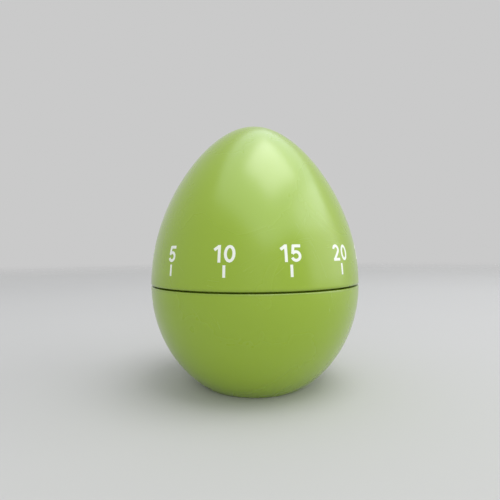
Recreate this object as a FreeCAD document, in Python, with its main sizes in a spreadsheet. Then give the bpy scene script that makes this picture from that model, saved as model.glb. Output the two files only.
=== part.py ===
import FreeCAD, Part
import math
import os
import re

import Sketcher
from FreeCAD import Placement, Rotation, Vector

# A wind-up kitchen timer shaped like an egg, 60 minutes round. The lower half holds a
# clockwork movement and a bell; the upper half is the dial and turns on the main arbor.
# Origin: centre of the foot, on the table. +Z up. The dial's zero faces -Y at rest.
# Millimetres and degrees throughout. Angles are counted anticlockwise seen from above.

SIZES = {
    # shells
    "egg_radius": 30,
    "egg_height": 75,
    "seam_height": 29,
    "crown_taper": 0.17,
    "base_depth": 33.5,
    "shell_wall": 1.8,
    "floor_wall": 1.8,
    "seam_gap": 0.4,
    "edge_break": 0.3,
    "foot_edge": 0.5,
    "foot_recess": 0.5,
    "foot_rim": 2.5,
    "lip_wall": 1.3,
    "lip_rise": 1.6,
    "lip_drop": 3.2,
    "lip_clearance": 0.3,
    "lip_root": 0.6,
    # hub and ribs of the dial
    "hub_radius": 5,
    "hub_length": 26,
    "hub_lift": 2.7,
    "rib_wall": 1.2,
    "rib_lift": 12,
    "socket_depth": 11,
    # fits
    "running_fit": 0.05,
    "seat_fit": 0.02,
    "screw_fit": 0.15,
    "end_shake": 0.2,
    # movement frame
    "plate_radius": 19.8,
    "plate_height": 14,
    "plate_thickness": 1,
    "plate_gap": 12.5,
    "ear_reach": 22,
    "ear_radius": 2.4,
    "boss_radius": 2.6,
    "pillar_reach": 18,
    "pillar_radius": 1.5,
    "rivet_radius": 0.8,
    "rivet_head": 1.3,
    "rivet_head_height": 0.4,
    "screw_radius": 0.9,
    "screw_length": 6,
    "screw_head_radius": 1.9,
    "screw_head_height": 1.3,
    "slot_width": 0.45,
    "slot_depth": 0.5,
    # bell
    "bell_radius": 18,
    "bell_depth": 7.4,
    "bell_wall": 0.8,
    "bell_gap": 1.8,
    "bell_boss_radius": 3.5,
    "bell_washer_radius": 3.2,
    "bell_washer_thickness": 0.4,
    "bell_screw_depth": 2.2,
    # main arbor
    "arbor_radius": 2.5,
    "arbor_flat": 1.9,
    "arbor_pivot_radius": 1.5,
    "bushing_wall": 1.4,
    "bushing_length": 2,
    "spring_outer_radius": 9.3,
    "spring_turns": 6,
    "spring_thickness": 0.3,
    "spring_width": 4.4,
    "spring_lift": 1.2,
    "post_radius": 0.8,
    # train; each lift is counted from the lower plate's top
    "wheel_teeth": 48,
    "pinion_leaves": 8,
    "tooth_share": 0.46,
    "leaf_share": 0.42,
    "main_module": 0.5,
    "train_module": 0.35,
    "wheel_thickness": 0.8,
    "leaf_thickness": 1.9,
    "shaft_radius": 0.6,
    "pivot_radius": 0.4,
    "pivot_stand": 0.3,
    "main_wheel_lift": 9.4,
    "second_wheel_lift": 6.9,
    "third_wheel_lift": 11,
    "third_gap": 2.8,
    "escape_gap": 3.6,
    "window_radius": 2,
    "main_window_reach": 8.2,
    "train_window_shift": 0.3,
    # escapement
    "escape_teeth": 20,
    "escape_tip": 4.5,
    "escape_root": 3.6,
    "escape_tooth_base": 0.6,
    "escape_tooth_top": 0.2,
    "escape_lift": 3.6,
    "anchor_span": 5,
    "anchor_lift": 2.2,
    "pin_radius": 0.25,
    "pin_clearance": 0.1,
    "balance_radius": 4.8,
    "balance_rim": 0.9,
    "balance_lift": 6.5,
    # ratchet and click
    "ratchet_teeth": 24,
    "ratchet_tip": 5,
    "ratchet_root": 4.3,
    "ratchet_lift": 8.2,
    "click_gap": 0.12,
    "click_pivot_across": 4.4,
    "click_pivot_along": 5,
    "click_eye": 1.1,
    # strike work
    "strike_angle": -75,
    "strike_teeth": 12,
    "strike_tip": 4.8,
    "strike_root": 3.5,
    "strike_tooth_base": 1,
    "strike_tooth_top": 0.4,
    "strike_lift": 6.4,
    "hammer_angle": -107,
    "hammer_swing": 9.1,
    "hammer_reach": 7,
    "hammer_head_radius": 1.7,
    "hammer_head_height": 2.1,
    "hammer_head_lift": 0.5,
    "hammer_gap": 0.3,
    "pallet_reach": 5,
    "pallet_pin_radius": 0.35,
    "stop_arm_reach": 4.1,
    "stop_arm_gap": 0.3,
    "arm_half_width": 0.5,
    # cam, stop and release lever
    "stop_ring_radius": 4.4,
    "stop_reach": 7,
    "lug_half_width": 0.25,
    "stop_pin_radius": 0.4,
    "stop_angle": 180,
    "dial_travel": 345,
    "upper_gap": 0.2,
    "cam_radius": 6.5,
    "cam_notch_floor": 4.5,
    "cam_gap": 0.3,
    "lever_drop": 6.5,
    "nose_radius": 0.8,
    "nose_length": 1.9,
    "nose_clearance": 4,
    "finger_angle": 120,
    "finger_reach": 4,
    "finger_arm": 6.6,
    "finger_radius": 0.5,
    "stud_radius": 1,
    "stud_shoulder": 1.6,
    "spring_wire": 0.35,
}

PILLAR_ANGLES = (-47, 128, 215)
EAR_ANGLES = (90, 210, 330)
# The ratchet tooth that the click holds.
CLICK_TOOTH = 14
# A pinion leaf's outline: modules out from the pitch circle, and share of its half width.
LEAF_OUTLINE = ((-1.45, 1), (0, 1), (0.45, 0.72), (0.66, 0))
# How far the rolling circle has turned at each point of a wheel tooth's top, in radians.
TOOTH_ROLLS = (0.0, 0.55, 0.95)

doc = FreeCAD.newDocument("EggTimer")
sheet = doc.addObject("Spreadsheet::Sheet", "Sizes")
for row, (alias, value) in enumerate(SIZES.items(), 1):
    sheet.set(f"A{row}", alias)
    sheet.set(f"B{row}", str(value))
    sheet.setAlias(f"B{row}", alias)
doc.recompute()

nodes = []


# ---------- helpers ----------

def size(alias):
    """A driving dimension, read from the sheet."""
    return float(sheet.get(alias))


def level(alias):
    """Height of something whose lift is counted from the lower plate's top."""
    return size("plate_height") + size("plate_thickness") + size(alias)


def bound(formula):
    """The same formula with every alias pointing at the sheet."""
    return re.sub(r"\b[a-z]+(?:_[a-z]+)+\b", lambda word: "Sizes." + word.group(0), str(formula))


def bind(item, **formulas):
    for name, formula in formulas.items():
        item.setExpression(name, bound(formula))
    return item


def place(item, x=0, y=0, z=0, turn=0):
    """Stands an object at x, y, turned about Z; z is a formula in the sheet's sizes."""
    item.Placement = Placement(Vector(x, y, 0), Rotation(Vector(0, 0, 1), turn))
    item.setExpression("Placement.Base.z", bound(z))
    return item


def cylinder(name, radius, height, z=0, at=(0, 0), turn=0, angle=None):
    item = bind(doc.addObject("Part::Cylinder", name), Radius=radius, Height=height)
    if angle is not None:
        bind(item, Angle=angle)
    return place(item, at[0], at[1], z, turn)


def bar(name, length, half_width, height, z=0, at=(0, 0), turn=0):
    """A flat bar with a round end at its start, running along +X before it is turned."""
    blade = bind(doc.addObject("Part::Box", name + "_blade"), Length=length, Height=height)
    bind(blade, Width=f"2 * {half_width}")
    side = polar(size(half_width), turn - 90)
    place(blade, at[0] + side.x, at[1] + side.y, z, turn)
    return [blade, cylinder(name + "_end", half_width, height, z, at)]


def fuse(name, *shapes):
    item = doc.addObject("Part::MultiFuse", name)
    item.Shapes = list(shapes)
    return item


def common(name, *shapes):
    item = doc.addObject("Part::MultiCommon", name)
    item.Shapes = list(shapes)
    return item


def cut(name, base, *tools):
    item = doc.addObject("Part::Cut", name)
    item.Base = base
    item.Tool = tools[0] if len(tools) == 1 else fuse(name + "_tools", *tools)
    return item


def group(name, *shapes):
    """Separate solids that share one node."""
    item = doc.addObject("Part::Compound", name)
    item.Links = list(shapes)
    return item


def feature(name, shape, x=0, y=0, z=0, turn=0):
    item = doc.addObject("Part::Feature", name)
    item.Shape = shape
    item.Placement = Placement(Vector(x, y, z), Rotation(Vector(0, 0, 1), turn))
    return item


def node(item, label):
    """Names a finished piece; its label is its file's name."""
    item.Label = label
    nodes.append(item)
    return item


def polar(radius, angle, z=0.0):
    turn = math.radians(angle)
    return Vector(radius * math.cos(turn), radius * math.sin(turn), z)


def bearing(start, end):
    """Angle of the line from start to end, in degrees."""
    return math.degrees(math.atan2(end.y - start.y, end.x - start.x))


def opposite_angle(first, second, far):
    """Angle between two sides of a triangle, facing the far side."""
    return math.degrees(math.acos((first ** 2 + second ** 2 - far ** 2) / (2 * first * second)))


def prism(points, thickness):
    wire = Part.makePolygon(list(points) + [points[0]])
    return Part.Face(wire).extrude(Vector(0, 0, thickness))


def lathe(name, outline):
    """A PartDesign body turned about Z from (radius, height) corners given as formulas."""
    body = doc.addObject("PartDesign::Body", name)
    sketch = body.newObject("Sketcher::SketchObject", name + "_outline")
    plane = [item for item in body.Origin.OriginFeatures if item.Role == "XZ_Plane"][0]
    sketch.AttachmentSupport = [(plane, "")]
    sketch.MapMode = "FlatFace"
    count = len(outline)
    start = [polar(1, 360 * index / count) + Vector(3, 3, 0) for index in range(count)]
    for index in range(count):
        sketch.addGeometry(Part.LineSegment(start[index], start[(index + 1) % count]), False)
    for index in range(count):
        sketch.addConstraint(Sketcher.Constraint("Coincident", index, 2, (index + 1) % count, 1))
    for index, corner in enumerate(outline):
        for kind, formula, axis in (("DistanceX", corner[0], -2), ("DistanceY", corner[1], -1)):
            if formula == 0:
                sketch.addConstraint(Sketcher.Constraint("PointOnObject", index, 1, axis))
                continue
            spot = sketch.addConstraint(Sketcher.Constraint(kind, -1, 1, index, 1, 3.0))
            sketch.renameConstraint(spot, f"{kind}{index}")
            sketch.setExpression(f"Constraints.{kind}{index}", bound(formula))
    doc.recompute()
    turned = body.newObject("PartDesign::Revolution", name + "_turned")
    turned.Profile = (sketch, [""])
    turned.ReferenceAxis = (sketch, ["V_Axis"])
    turned.Angle = 360
    sketch.Visibility = False
    return body


def egg_form(name, radius, depth, taper, near, far, near_edge, far_edge=0.0):
    """A solid turned about Z. Its side is r = radius cos t (1 - taper sin^2 t), z = depth sin t,
    counted from the seam, from near to far; its two rims are broken by small flats."""
    def side(rise):
        sine = rise / depth
        return radius * math.sqrt(max(0.0, 1 - sine ** 2)) * (1 - taper * sine ** 2)

    seam = size("seam_height")
    way = math.copysign(1, depth)
    first = math.asin((near + way * near_edge) / depth)
    last = math.asin(max(-1.0, min(1.0, (far - way * far_edge) / depth)))
    steps = 16
    points = []
    for step in range(steps + 1):
        rise = depth * math.sin(first + (last - first) * step / steps)
        points.append(Vector(side(rise), 0, seam + rise))
    curve = Part.BSplineCurve()
    curve.interpolate(points)
    corners = [points[-1]]
    if points[-1].x > 1e-6:
        corners.append(Vector(points[-1].x - far_edge, 0, seam + far))
        corners.append(Vector(0, 0, seam + far))
    corners.append(Vector(0, 0, seam + near))
    corners.append(Vector(points[0].x - near_edge, 0, seam + near))
    corners.append(points[0])
    edges = [curve.toShape()]
    for start, end in zip(corners, corners[1:]):
        if start.distanceToPoint(end) > 1e-6:
            edges.append(Part.makeLine(start, end))
    face = Part.Face(Part.Wire(edges))
    return feature(name, face.revolve(Vector(0, 0, 0), Vector(0, 0, 1), 360))


# ---------- gear outlines ----------

def wheel_points(teeth, module, leaves):
    """Clock wheel: radial roots, tooth tops on the epicycloid that runs on the pinion's leaves."""
    pitch_radius = teeth * module / 2
    rolling = leaves * module / 4
    half_tooth = size("tooth_share") * math.pi / teeth
    root_radius = pitch_radius - module
    top = []
    for roll in TOOTH_ROLLS:
        angle = roll * rolling / pitch_radius
        far = pitch_radius + rolling
        x = far * math.cos(angle) - rolling * math.cos(angle + roll)
        y = far * math.sin(angle) - rolling * math.sin(angle + roll)
        top.append((math.hypot(x, y), math.atan2(y, x)))
    points = []
    for tooth in range(teeth):
        centre = 2 * math.pi * tooth / teeth
        flank = [(root_radius, -half_tooth)]
        flank += [(radius, angle - half_tooth) for radius, angle in top]
        back = [(radius, -angle) for radius, angle in reversed(flank)]
        for radius, angle in flank + back:
            points.append(polar(radius, math.degrees(centre + angle)))
    return points


def pinion_points(leaves, module):
    """Pinion: radial leaves with rounded tops."""
    pitch_radius = leaves * module / 2
    half_leaf = size("leaf_share") * math.pi / leaves
    points = []
    for leaf in range(leaves):
        centre = 2 * math.pi * leaf / leaves
        for radius, share in LEAF_OUTLINE:
            points.append((pitch_radius + radius * module, centre - share * half_leaf))
        for radius, share in reversed(LEAF_OUTLINE[:-1]):
            points.append((pitch_radius + radius * module, centre + share * half_leaf))
    return [polar(radius, math.degrees(angle)) for radius, angle in points]


def tapered_teeth(teeth, root, tip, root_width, tip_width):
    """Straight-sided teeth, widths in millimetres."""
    points = []
    for tooth in range(teeth):
        centre = 360 * tooth / teeth
        for radius, half in ((root, -root_width / 2), (tip, -tip_width / 2),
                             (tip, tip_width / 2), (root, root_width / 2)):
            points.append(polar(radius, centre + math.degrees(half / radius)))
    return points


def bored(points, thickness, bore, windows=0, window_reach=0.0, window_first=0.0):
    """A toothed disc with a bore, and round windows to lighten it."""
    disc = prism(points, thickness)
    tools = [Part.makeCylinder(bore, thickness)]
    for window in range(windows):
        spot = polar(window_reach, window_first + 360 * window / windows)
        tools.append(Part.makeCylinder(size("window_radius"), thickness, spot))
    return disc.cut(tools)


# ---------- places of the arbors ----------

pitch_main = size("main_module") / 2 * (size("wheel_teeth") + size("pinion_leaves"))
pitch_train = size("train_module") / 2 * (size("wheel_teeth") + size("pinion_leaves"))
leaves = int(size("pinion_leaves"))
wheel_teeth = int(size("wheel_teeth"))
wheel_pitch = 360 / wheel_teeth

# The third and the escape arbor stand clear of the main wheel's teeth.
main_wheel_reach = size("main_module") * wheel_teeth / 2
third_reach = main_wheel_reach + size("third_gap")
escape_reach = main_wheel_reach + size("escape_gap")

main_axis = Vector(0, 0, 0)
second_axis = polar(pitch_main, 0)
third_angle = opposite_angle(pitch_main, third_reach, pitch_train)
third_axis = polar(third_reach, third_angle)
escape_angle = third_angle + opposite_angle(third_reach, escape_reach, pitch_train)
escape_axis = polar(escape_reach, escape_angle)

# The anchor's pins stand on the tangents from its axis to the circle that they rest on.
escape_teeth = int(size("escape_teeth"))
half_span = size("anchor_span") * 180 / escape_teeth
pin_circle = size("escape_tip") + size("pin_clearance") + size("pin_radius")
anchor_distance = pin_circle / math.cos(math.radians(half_span))
anchor_angle = escape_angle + 2 * math.degrees(math.asin(anchor_distance / 2 / escape_reach))
anchor_axis = polar(escape_reach, anchor_angle)

strike_axis = polar(pitch_main, size("strike_angle"))
hammer_axis = polar(pitch_main, size("hammer_angle"))

lower_plate_top = "plate_height + plate_thickness"
upper_plate_base = "plate_height + plate_thickness + plate_gap"
upper_plate_top = "plate_height + 2 * plate_thickness + plate_gap"
bell_rim = "plate_height - bell_gap"
seam_top = "seam_height + seam_gap / 2"


# ---------- lower shell ----------

def make_base_shell():
    radius = size("egg_radius")
    wall = size("shell_wall")
    depth = -size("base_depth")
    seam = size("seam_height")
    top = -size("seam_gap") / 2
    outer = egg_form("base_outer", radius, depth, 0, top, -seam, size("edge_break"), size("foot_edge"))
    floor = size("foot_recess") + size("floor_wall")
    hollow = egg_form("base_hollow", radius - wall, depth + wall, 0, 0, floor - seam, 0)
    foot_radius = radius * math.sqrt(1 - (seam / depth) ** 2)
    recess = bind(doc.addObject("Part::Cylinder", "foot_hollow"), Height="foot_recess")
    recess.Radius = foot_radius - size("foot_rim")
    shell = cut("base_shell_wall", outer, hollow, recess)

    # The lip stands inside the dial's rim and keeps it centred; its root is in the wall.
    lip_outer = "egg_radius - shell_wall - lip_clearance"
    lip_inner = "egg_radius - shell_wall - lip_clearance - lip_wall"
    lip_base = "seam_height - lip_drop"
    lip = cylinder("lip_ring", lip_outer, "lip_drop + lip_rise", lip_base)
    lip_root = cylinder("lip_root_ring", lip_outer + " + lip_root", "lip_drop - seam_gap", lip_base)
    lip_bore = cylinder("lip_bore", lip_inner, "lip_drop + lip_rise", lip_base)
    lip_wall = cut("base_lip", fuse("lip_body", lip, lip_root), lip_bore)

    # Bosses under the movement's ears grow out of the wall, and one stands under the bell.
    solid = egg_form("base_inside", radius - wall / 2, depth + wall / 2, 0, 0, wall / 2 - seam, 0)
    bosses = []
    for index, angle in enumerate(EAR_ANGLES):
        spot = polar(size("ear_reach"), angle)
        bosses.append(cylinder(f"ear_boss_{index}", "boss_radius", "plate_height", 0, (spot.x, spot.y)))
    bosses.append(cylinder("bell_boss", "bell_boss_radius", bell_rim + " - bell_depth"))
    bosses = common("base_bosses", fuse("boss_set", *bosses), solid)

    whole = fuse("base_whole", shell, lip_wall, bosses)
    holes = []
    for index, angle in enumerate(EAR_ANGLES):
        spot = polar(size("ear_reach"), angle)
        holes.append(cylinder(f"ear_hole_{index}", "screw_radius + seat_fit", "screw_length",
                              "plate_height + plate_thickness - screw_length", (spot.x, spot.y)))
    hole_floor = bell_rim + " - bell_depth - bell_screw_depth"
    holes.append(cylinder("bell_hole", "screw_radius + seat_fit", bell_rim, hole_floor))
    node(cut("base_shell", whole, *holes), "base_shell")


# ---------- upper shell ----------

def make_upper_shell():
    radius = size("egg_radius")
    wall = size("shell_wall")
    taper = size("crown_taper")
    rise = size("egg_height") - size("seam_height")
    low = size("seam_gap") / 2
    outer = egg_form("dial_outer", radius, rise, taper, low, rise, size("edge_break"))
    hollow = egg_form("dial_hollow", radius - wall, rise - wall, taper, 0, rise - wall, 0)
    skin = egg_form("dial_middle", radius - wall / 2, rise - wall / 2, taper, 0, rise - wall / 2, 0)
    shell = cut("dial_wall", outer, hollow)

    hub_base = upper_plate_top + " + hub_lift"
    hub = cylinder("dial_hub", "hub_radius", "hub_length", hub_base)
    ribs = []
    for index, turn in enumerate((0, 90)):
        rib = bind(doc.addObject("Part::Box", f"dial_rib_{index}"), Length="2 * egg_radius",
                   Width="rib_wall", Height="egg_height")
        start = polar(-radius, turn) + polar(-size("rib_wall") / 2, turn + 90)
        ribs.append(place(rib, start.x, start.y, hub_base + " + rib_lift", turn))
    inside = common("dial_inside", fuse("hub_and_ribs", hub, *ribs), skin)

    # D-shaped socket that the arbor's flat drives
    socket = cylinder("socket_round", "arbor_radius + running_fit", "socket_depth", hub_base)
    flat = bind(doc.addObject("Part::Box", "socket_flat"), Length="2 * arbor_radius",
                Width="4 * arbor_radius", Height="socket_depth")
    place(flat, 0, -2 * size("arbor_radius"), hub_base)
    flat.setExpression("Placement.Base.x", bound("arbor_flat + running_fit"))
    whole = fuse("dial_whole", shell, inside)
    node(cut("upper_shell", whole, cut("socket", socket, flat)), "upper_shell")


# ---------- screws ----------

def slotted_screw(name, at, seat, length, turn):
    """Pan-head screw with a driver slot; seat is the height of the face under its head."""
    shank = cylinder(name + "_shank", "screw_radius", length, f"{seat} - ({length})", at)
    head = cylinder(name + "_head", "screw_head_radius", "screw_head_height", seat, at)
    slot = bind(doc.addObject("Part::Box", name + "_slot"), Length="2 * screw_head_radius",
                Width="slot_width", Height="slot_depth")
    corner = polar(-size("screw_head_radius"), turn) + polar(-size("slot_width") / 2, turn + 90)
    place(slot, at[0] + corner.x, at[1] + corner.y, f"{seat} + screw_head_height - slot_depth", turn)
    return cut(name, fuse(name + "_body", shank, head), slot)


# ---------- bell ----------

def make_bell():
    radius = size("bell_radius")
    depth = size("bell_depth")
    wall = size("bell_wall")
    lift = size("plate_height") - size("bell_gap") - size("seam_height")
    outer = egg_form("bell_outer", radius, -depth, 0, 0, -depth, 0)
    inner = egg_form("bell_inner", radius - wall, wall - depth, 0, 0, wall - depth, 0)
    for item in (outer, inner):
        item.Placement = Placement(Vector(0, 0, lift), Rotation())
    bore = cylinder("bell_bore", "screw_radius + screw_fit", bell_rim)
    node(cut("bell", outer, inner, bore), "bell")
    rise = "sqrt(1 - (bell_washer_radius / (bell_radius - bell_wall)) ^ 2)"
    washer_base = f"{bell_rim} - (bell_depth - bell_wall) * {rise}"
    washer = lathe("bell_washer", [("screw_radius + screw_fit", washer_base),
                                   ("bell_washer_radius", washer_base),
                                   ("bell_washer_radius", washer_base + " + bell_washer_thickness"),
                                   ("screw_radius + screw_fit", washer_base + " + bell_washer_thickness")])
    node(washer, "bell_washer")
    node(slotted_screw("bell_screw", (0, 0), washer_base + " + bell_washer_thickness",
                       "bell_screw_depth + bell_wall + bell_washer_thickness - end_shake", 30), "bell_screw")


# ---------- movement frame ----------

def arbor_holes(name, z, radius="pivot_radius + running_fit"):
    spots = (second_axis, third_axis, escape_axis, anchor_axis, strike_axis, hammer_axis)
    return [cylinder(f"{name}_pivot_{index}", radius, "plate_thickness", z, (spot.x, spot.y))
            for index, spot in enumerate(spots)]


def pillar_holes(name, z):
    holes = []
    for index, angle in enumerate(PILLAR_ANGLES):
        spot = polar(size("pillar_reach"), angle)
        holes.append(cylinder(f"{name}_rivet_{index}", "rivet_radius + seat_fit", "plate_thickness", z,
                              (spot.x, spot.y)))
    return holes


def make_plates():
    low = "plate_height"
    disc = cylinder("lower_disc", "plate_radius", "plate_thickness", low)
    ears = []
    holes = []
    for index, angle in enumerate(EAR_ANGLES):
        spot = polar(size("ear_reach"), angle)
        ears.append(cylinder(f"ear_end_{index}", "ear_radius", "plate_thickness", low, (spot.x, spot.y)))
        ears += bar(f"ear_{index}", "ear_reach", "ear_radius", "plate_thickness", low, (0, 0), angle)
        holes.append(cylinder(f"ear_screw_hole_{index}", "screw_radius + screw_fit", "plate_thickness",
                              low, (spot.x, spot.y)))
    holes.append(cylinder("lower_bushing_hole", "arbor_pivot_radius + running_fit + bushing_wall + seat_fit",
                          "plate_thickness", low))
    post = polar(spring_post_reach(), 180)
    holes.append(cylinder("post_hole", "rivet_radius + seat_fit", "plate_thickness", low, (post.x, post.y)))
    holes += arbor_holes("lower", low) + pillar_holes("lower", low)
    node(cut("lower_plate", fuse("lower_plate_blank", disc, *ears), *holes), "lower_plate")

    top = cylinder("upper_disc", "plate_radius", "plate_thickness", upper_plate_base)
    holes = arbor_holes("upper", upper_plate_base) + pillar_holes("upper", upper_plate_base)
    holes.append(cylinder("upper_bushing_hole", "arbor_radius + running_fit + bushing_wall + seat_fit",
                          "plate_thickness", upper_plate_base))
    stop = polar(size("stop_reach"), size("stop_angle"))
    holes.append(cylinder("stop_hole", "stop_pin_radius + seat_fit", "plate_thickness", upper_plate_base,
                          (stop.x, stop.y)))
    holes.append(cylinder("stud_hole", "stud_radius + seat_fit", "plate_thickness", upper_plate_base,
                          (lever_axis.x, lever_axis.y)))
    middle = finger_axis + polar(finger_travel / 2, size("finger_angle"))
    holes.append(cylinder("finger_window", "finger_radius + nose_radius", "plate_thickness",
                          upper_plate_base, (middle.x, middle.y)))
    node(cut("upper_plate", top, *holes), "upper_plate")

    pillars = []
    for index, angle in enumerate(PILLAR_ANGLES):
        spot = polar(size("pillar_reach"), angle)
        at = (spot.x, spot.y)
        tail = "plate_gap + 2 * plate_thickness + 2 * rivet_head_height"
        pillars.append(fuse(
            f"pillar_{index}",
            cylinder(f"pillar_{index}_stem", "pillar_radius", "plate_gap", lower_plate_top, at),
            cylinder(f"pillar_{index}_rivet", "rivet_radius", tail, "plate_height - rivet_head_height", at),
            cylinder(f"pillar_{index}_foot", "rivet_head", "rivet_head_height",
                     "plate_height - rivet_head_height", at),
            cylinder(f"pillar_{index}_head", "rivet_head", "rivet_head_height", upper_plate_top, at)))
    node(group("pillars", *pillars), "pillars")

    screws = []
    for index, angle in enumerate(EAR_ANGLES):
        spot = polar(size("ear_reach"), angle)
        screws.append(slotted_screw(f"movement_screw_{index}", (spot.x, spot.y), lower_plate_top,
                                    "screw_length - end_shake", angle + 25))
    node(group("movement_screws", *screws), "movement_screws")

    lower = lathe("lower_bushing", ring_outline("arbor_pivot_radius", "plate_height", "bushing_length"))
    node(lower, "lower_bushing")
    upper = lathe("upper_bushing", ring_outline("arbor_radius", upper_plate_top + " - bushing_length",
                                                "bushing_length"))
    node(upper, "upper_bushing")


def ring_outline(bore, low, length):
    inner = f"{bore} + running_fit"
    outer = f"{bore} + running_fit + bushing_wall"
    return [(inner, low), (outer, low), (outer, f"{low} + {length}"), (inner, f"{low} + {length}")]


# ---------- mainspring and its post ----------

def spring_post_reach():
    return size("spring_outer_radius") + size("spring_thickness") + size("post_radius")


def make_mainspring():
    inner = size("arbor_radius") + 2 * size("running_fit")
    outer = size("spring_outer_radius")
    turns = size("spring_turns")
    points_per_turn = 12
    steps = int(turns * points_per_turn)
    edges = []
    ends = []
    for side in (0, size("spring_thickness")):
        points = []
        for step in range(steps + 1):
            share = step / steps
            points.append(polar(inner + (outer - inner) * share + side, 180 - 360 * turns * (1 - share)))
        curve = Part.BSplineCurve()
        curve.interpolate(points)
        edges.append(curve.toShape())
        ends.append((points[0], points[-1]))
    edges.insert(1, Part.makeLine(ends[0][1], ends[1][1]))
    edges.append(Part.makeLine(ends[0][0], ends[1][0]))
    strip = Part.Face(Part.Wire(Part.__sortEdges__(edges))).extrude(Vector(0, 0, size("spring_width")))
    node(feature("mainspring", strip, 0, 0, level("spring_lift")), "mainspring")
    spot = polar(spring_post_reach(), 180)
    at = (spot.x, spot.y)
    post = fuse("spring_post",
                cylinder("post_stem", "post_radius - running_fit", "spring_lift + spring_width",
                         lower_plate_top, at),
                cylinder("post_tail", "rivet_radius - running_fit", "plate_thickness + rivet_head_height",
                         "plate_height - rivet_head_height", at))
    node(post, "spring_post")


# ---------- main arbor and what is fixed on it ----------

def make_main_arbor():
    step = "plate_height + bushing_length + end_shake"
    low = "plate_height - pivot_stand"
    top = upper_plate_top + " + hub_lift + socket_depth - 2 * end_shake"
    body = lathe("arbor_turned", [(0, low), ("arbor_pivot_radius", low), ("arbor_pivot_radius", step),
                                  ("arbor_radius", step), ("arbor_radius", top), (0, top)])
    flat = bind(doc.addObject("Part::Box", "arbor_flat_cut"), Length="2 * arbor_radius",
                Width="4 * arbor_radius", Height="socket_depth + hub_lift")
    place(flat, 0, -2 * size("arbor_radius"), upper_plate_top + " + hub_lift - end_shake")
    flat.setExpression("Placement.Base.x", bound("arbor_flat"))
    node(cut("main_arbor", body, flat), "main_arbor")

    teeth = int(size("ratchet_teeth"))
    points = []
    for tooth in range(teeth):
        first = 360 * tooth / teeth
        points += [polar(size("ratchet_tip"), first), polar(size("ratchet_root"), first)]
    disc = prism(points, size("wheel_thickness")).cut(
        Part.makeCylinder(size("arbor_radius") + size("seat_fit"), size("wheel_thickness")))
    node(feature("ratchet_wheel", disc, 0, 0, level("ratchet_lift")), "ratchet_wheel")

    washer_low = lower_plate_top + " + main_wheel_lift + wheel_thickness + end_shake / 2"
    washer = lathe("arbor_washer", [("arbor_radius + seat_fit", washer_low),
                                    ("stop_ring_radius", washer_low),
                                    ("stop_ring_radius", washer_low + " + spring_thickness"),
                                    ("arbor_radius + seat_fit", washer_low + " + spring_thickness")])
    node(washer, "arbor_washer")

    # The stop ring's lug meets the stop pin at both ends of the dial's travel.
    ring_low = upper_plate_top + " + upper_gap"
    height = "wheel_thickness - upper_gap"
    lug_turn = size("stop_angle") - (360 - size("dial_travel")) / 2
    ring = cylinder("stop_ring_disc", "stop_ring_radius", height, ring_low)
    lug = bar("stop_lug", "stop_reach + stop_pin_radius", "lug_half_width", height, ring_low, (0, 0), lug_turn)
    bore = cylinder("stop_ring_bore", "arbor_radius + seat_fit", height, ring_low)
    node(cut("stop_ring", fuse("stop_ring_blank", ring, *lug), bore), "stop_ring")

    # The strike cam's notch lets the release lever drop. It spans the turn that the stop leaves.
    cam_low = upper_plate_top + " + upper_gap + wheel_thickness + 2 * end_shake"
    spare = 360 - size("dial_travel")
    nose_half = math.degrees(math.asin(size("nose_radius") / size("cam_notch_floor"))) + size("nose_clearance")
    disc = cylinder("cam_disc", "cam_radius", "wheel_thickness", cam_low)
    first = nose_angle - spare - nose_half
    sector = cylinder("notch_sector", "cam_radius + nose_radius", "wheel_thickness", cam_low,
                      turn=first, angle=spare + 2 * nose_half)
    notch = cut("cam_notch", sector, cylinder("notch_floor", "cam_notch_floor", "wheel_thickness", cam_low))
    bore = cylinder("cam_bore", "arbor_radius + seat_fit", "wheel_thickness", cam_low)
    node(cut("strike_cam", disc, notch, bore), "strike_cam")


# ---------- main wheel and click ----------

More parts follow.
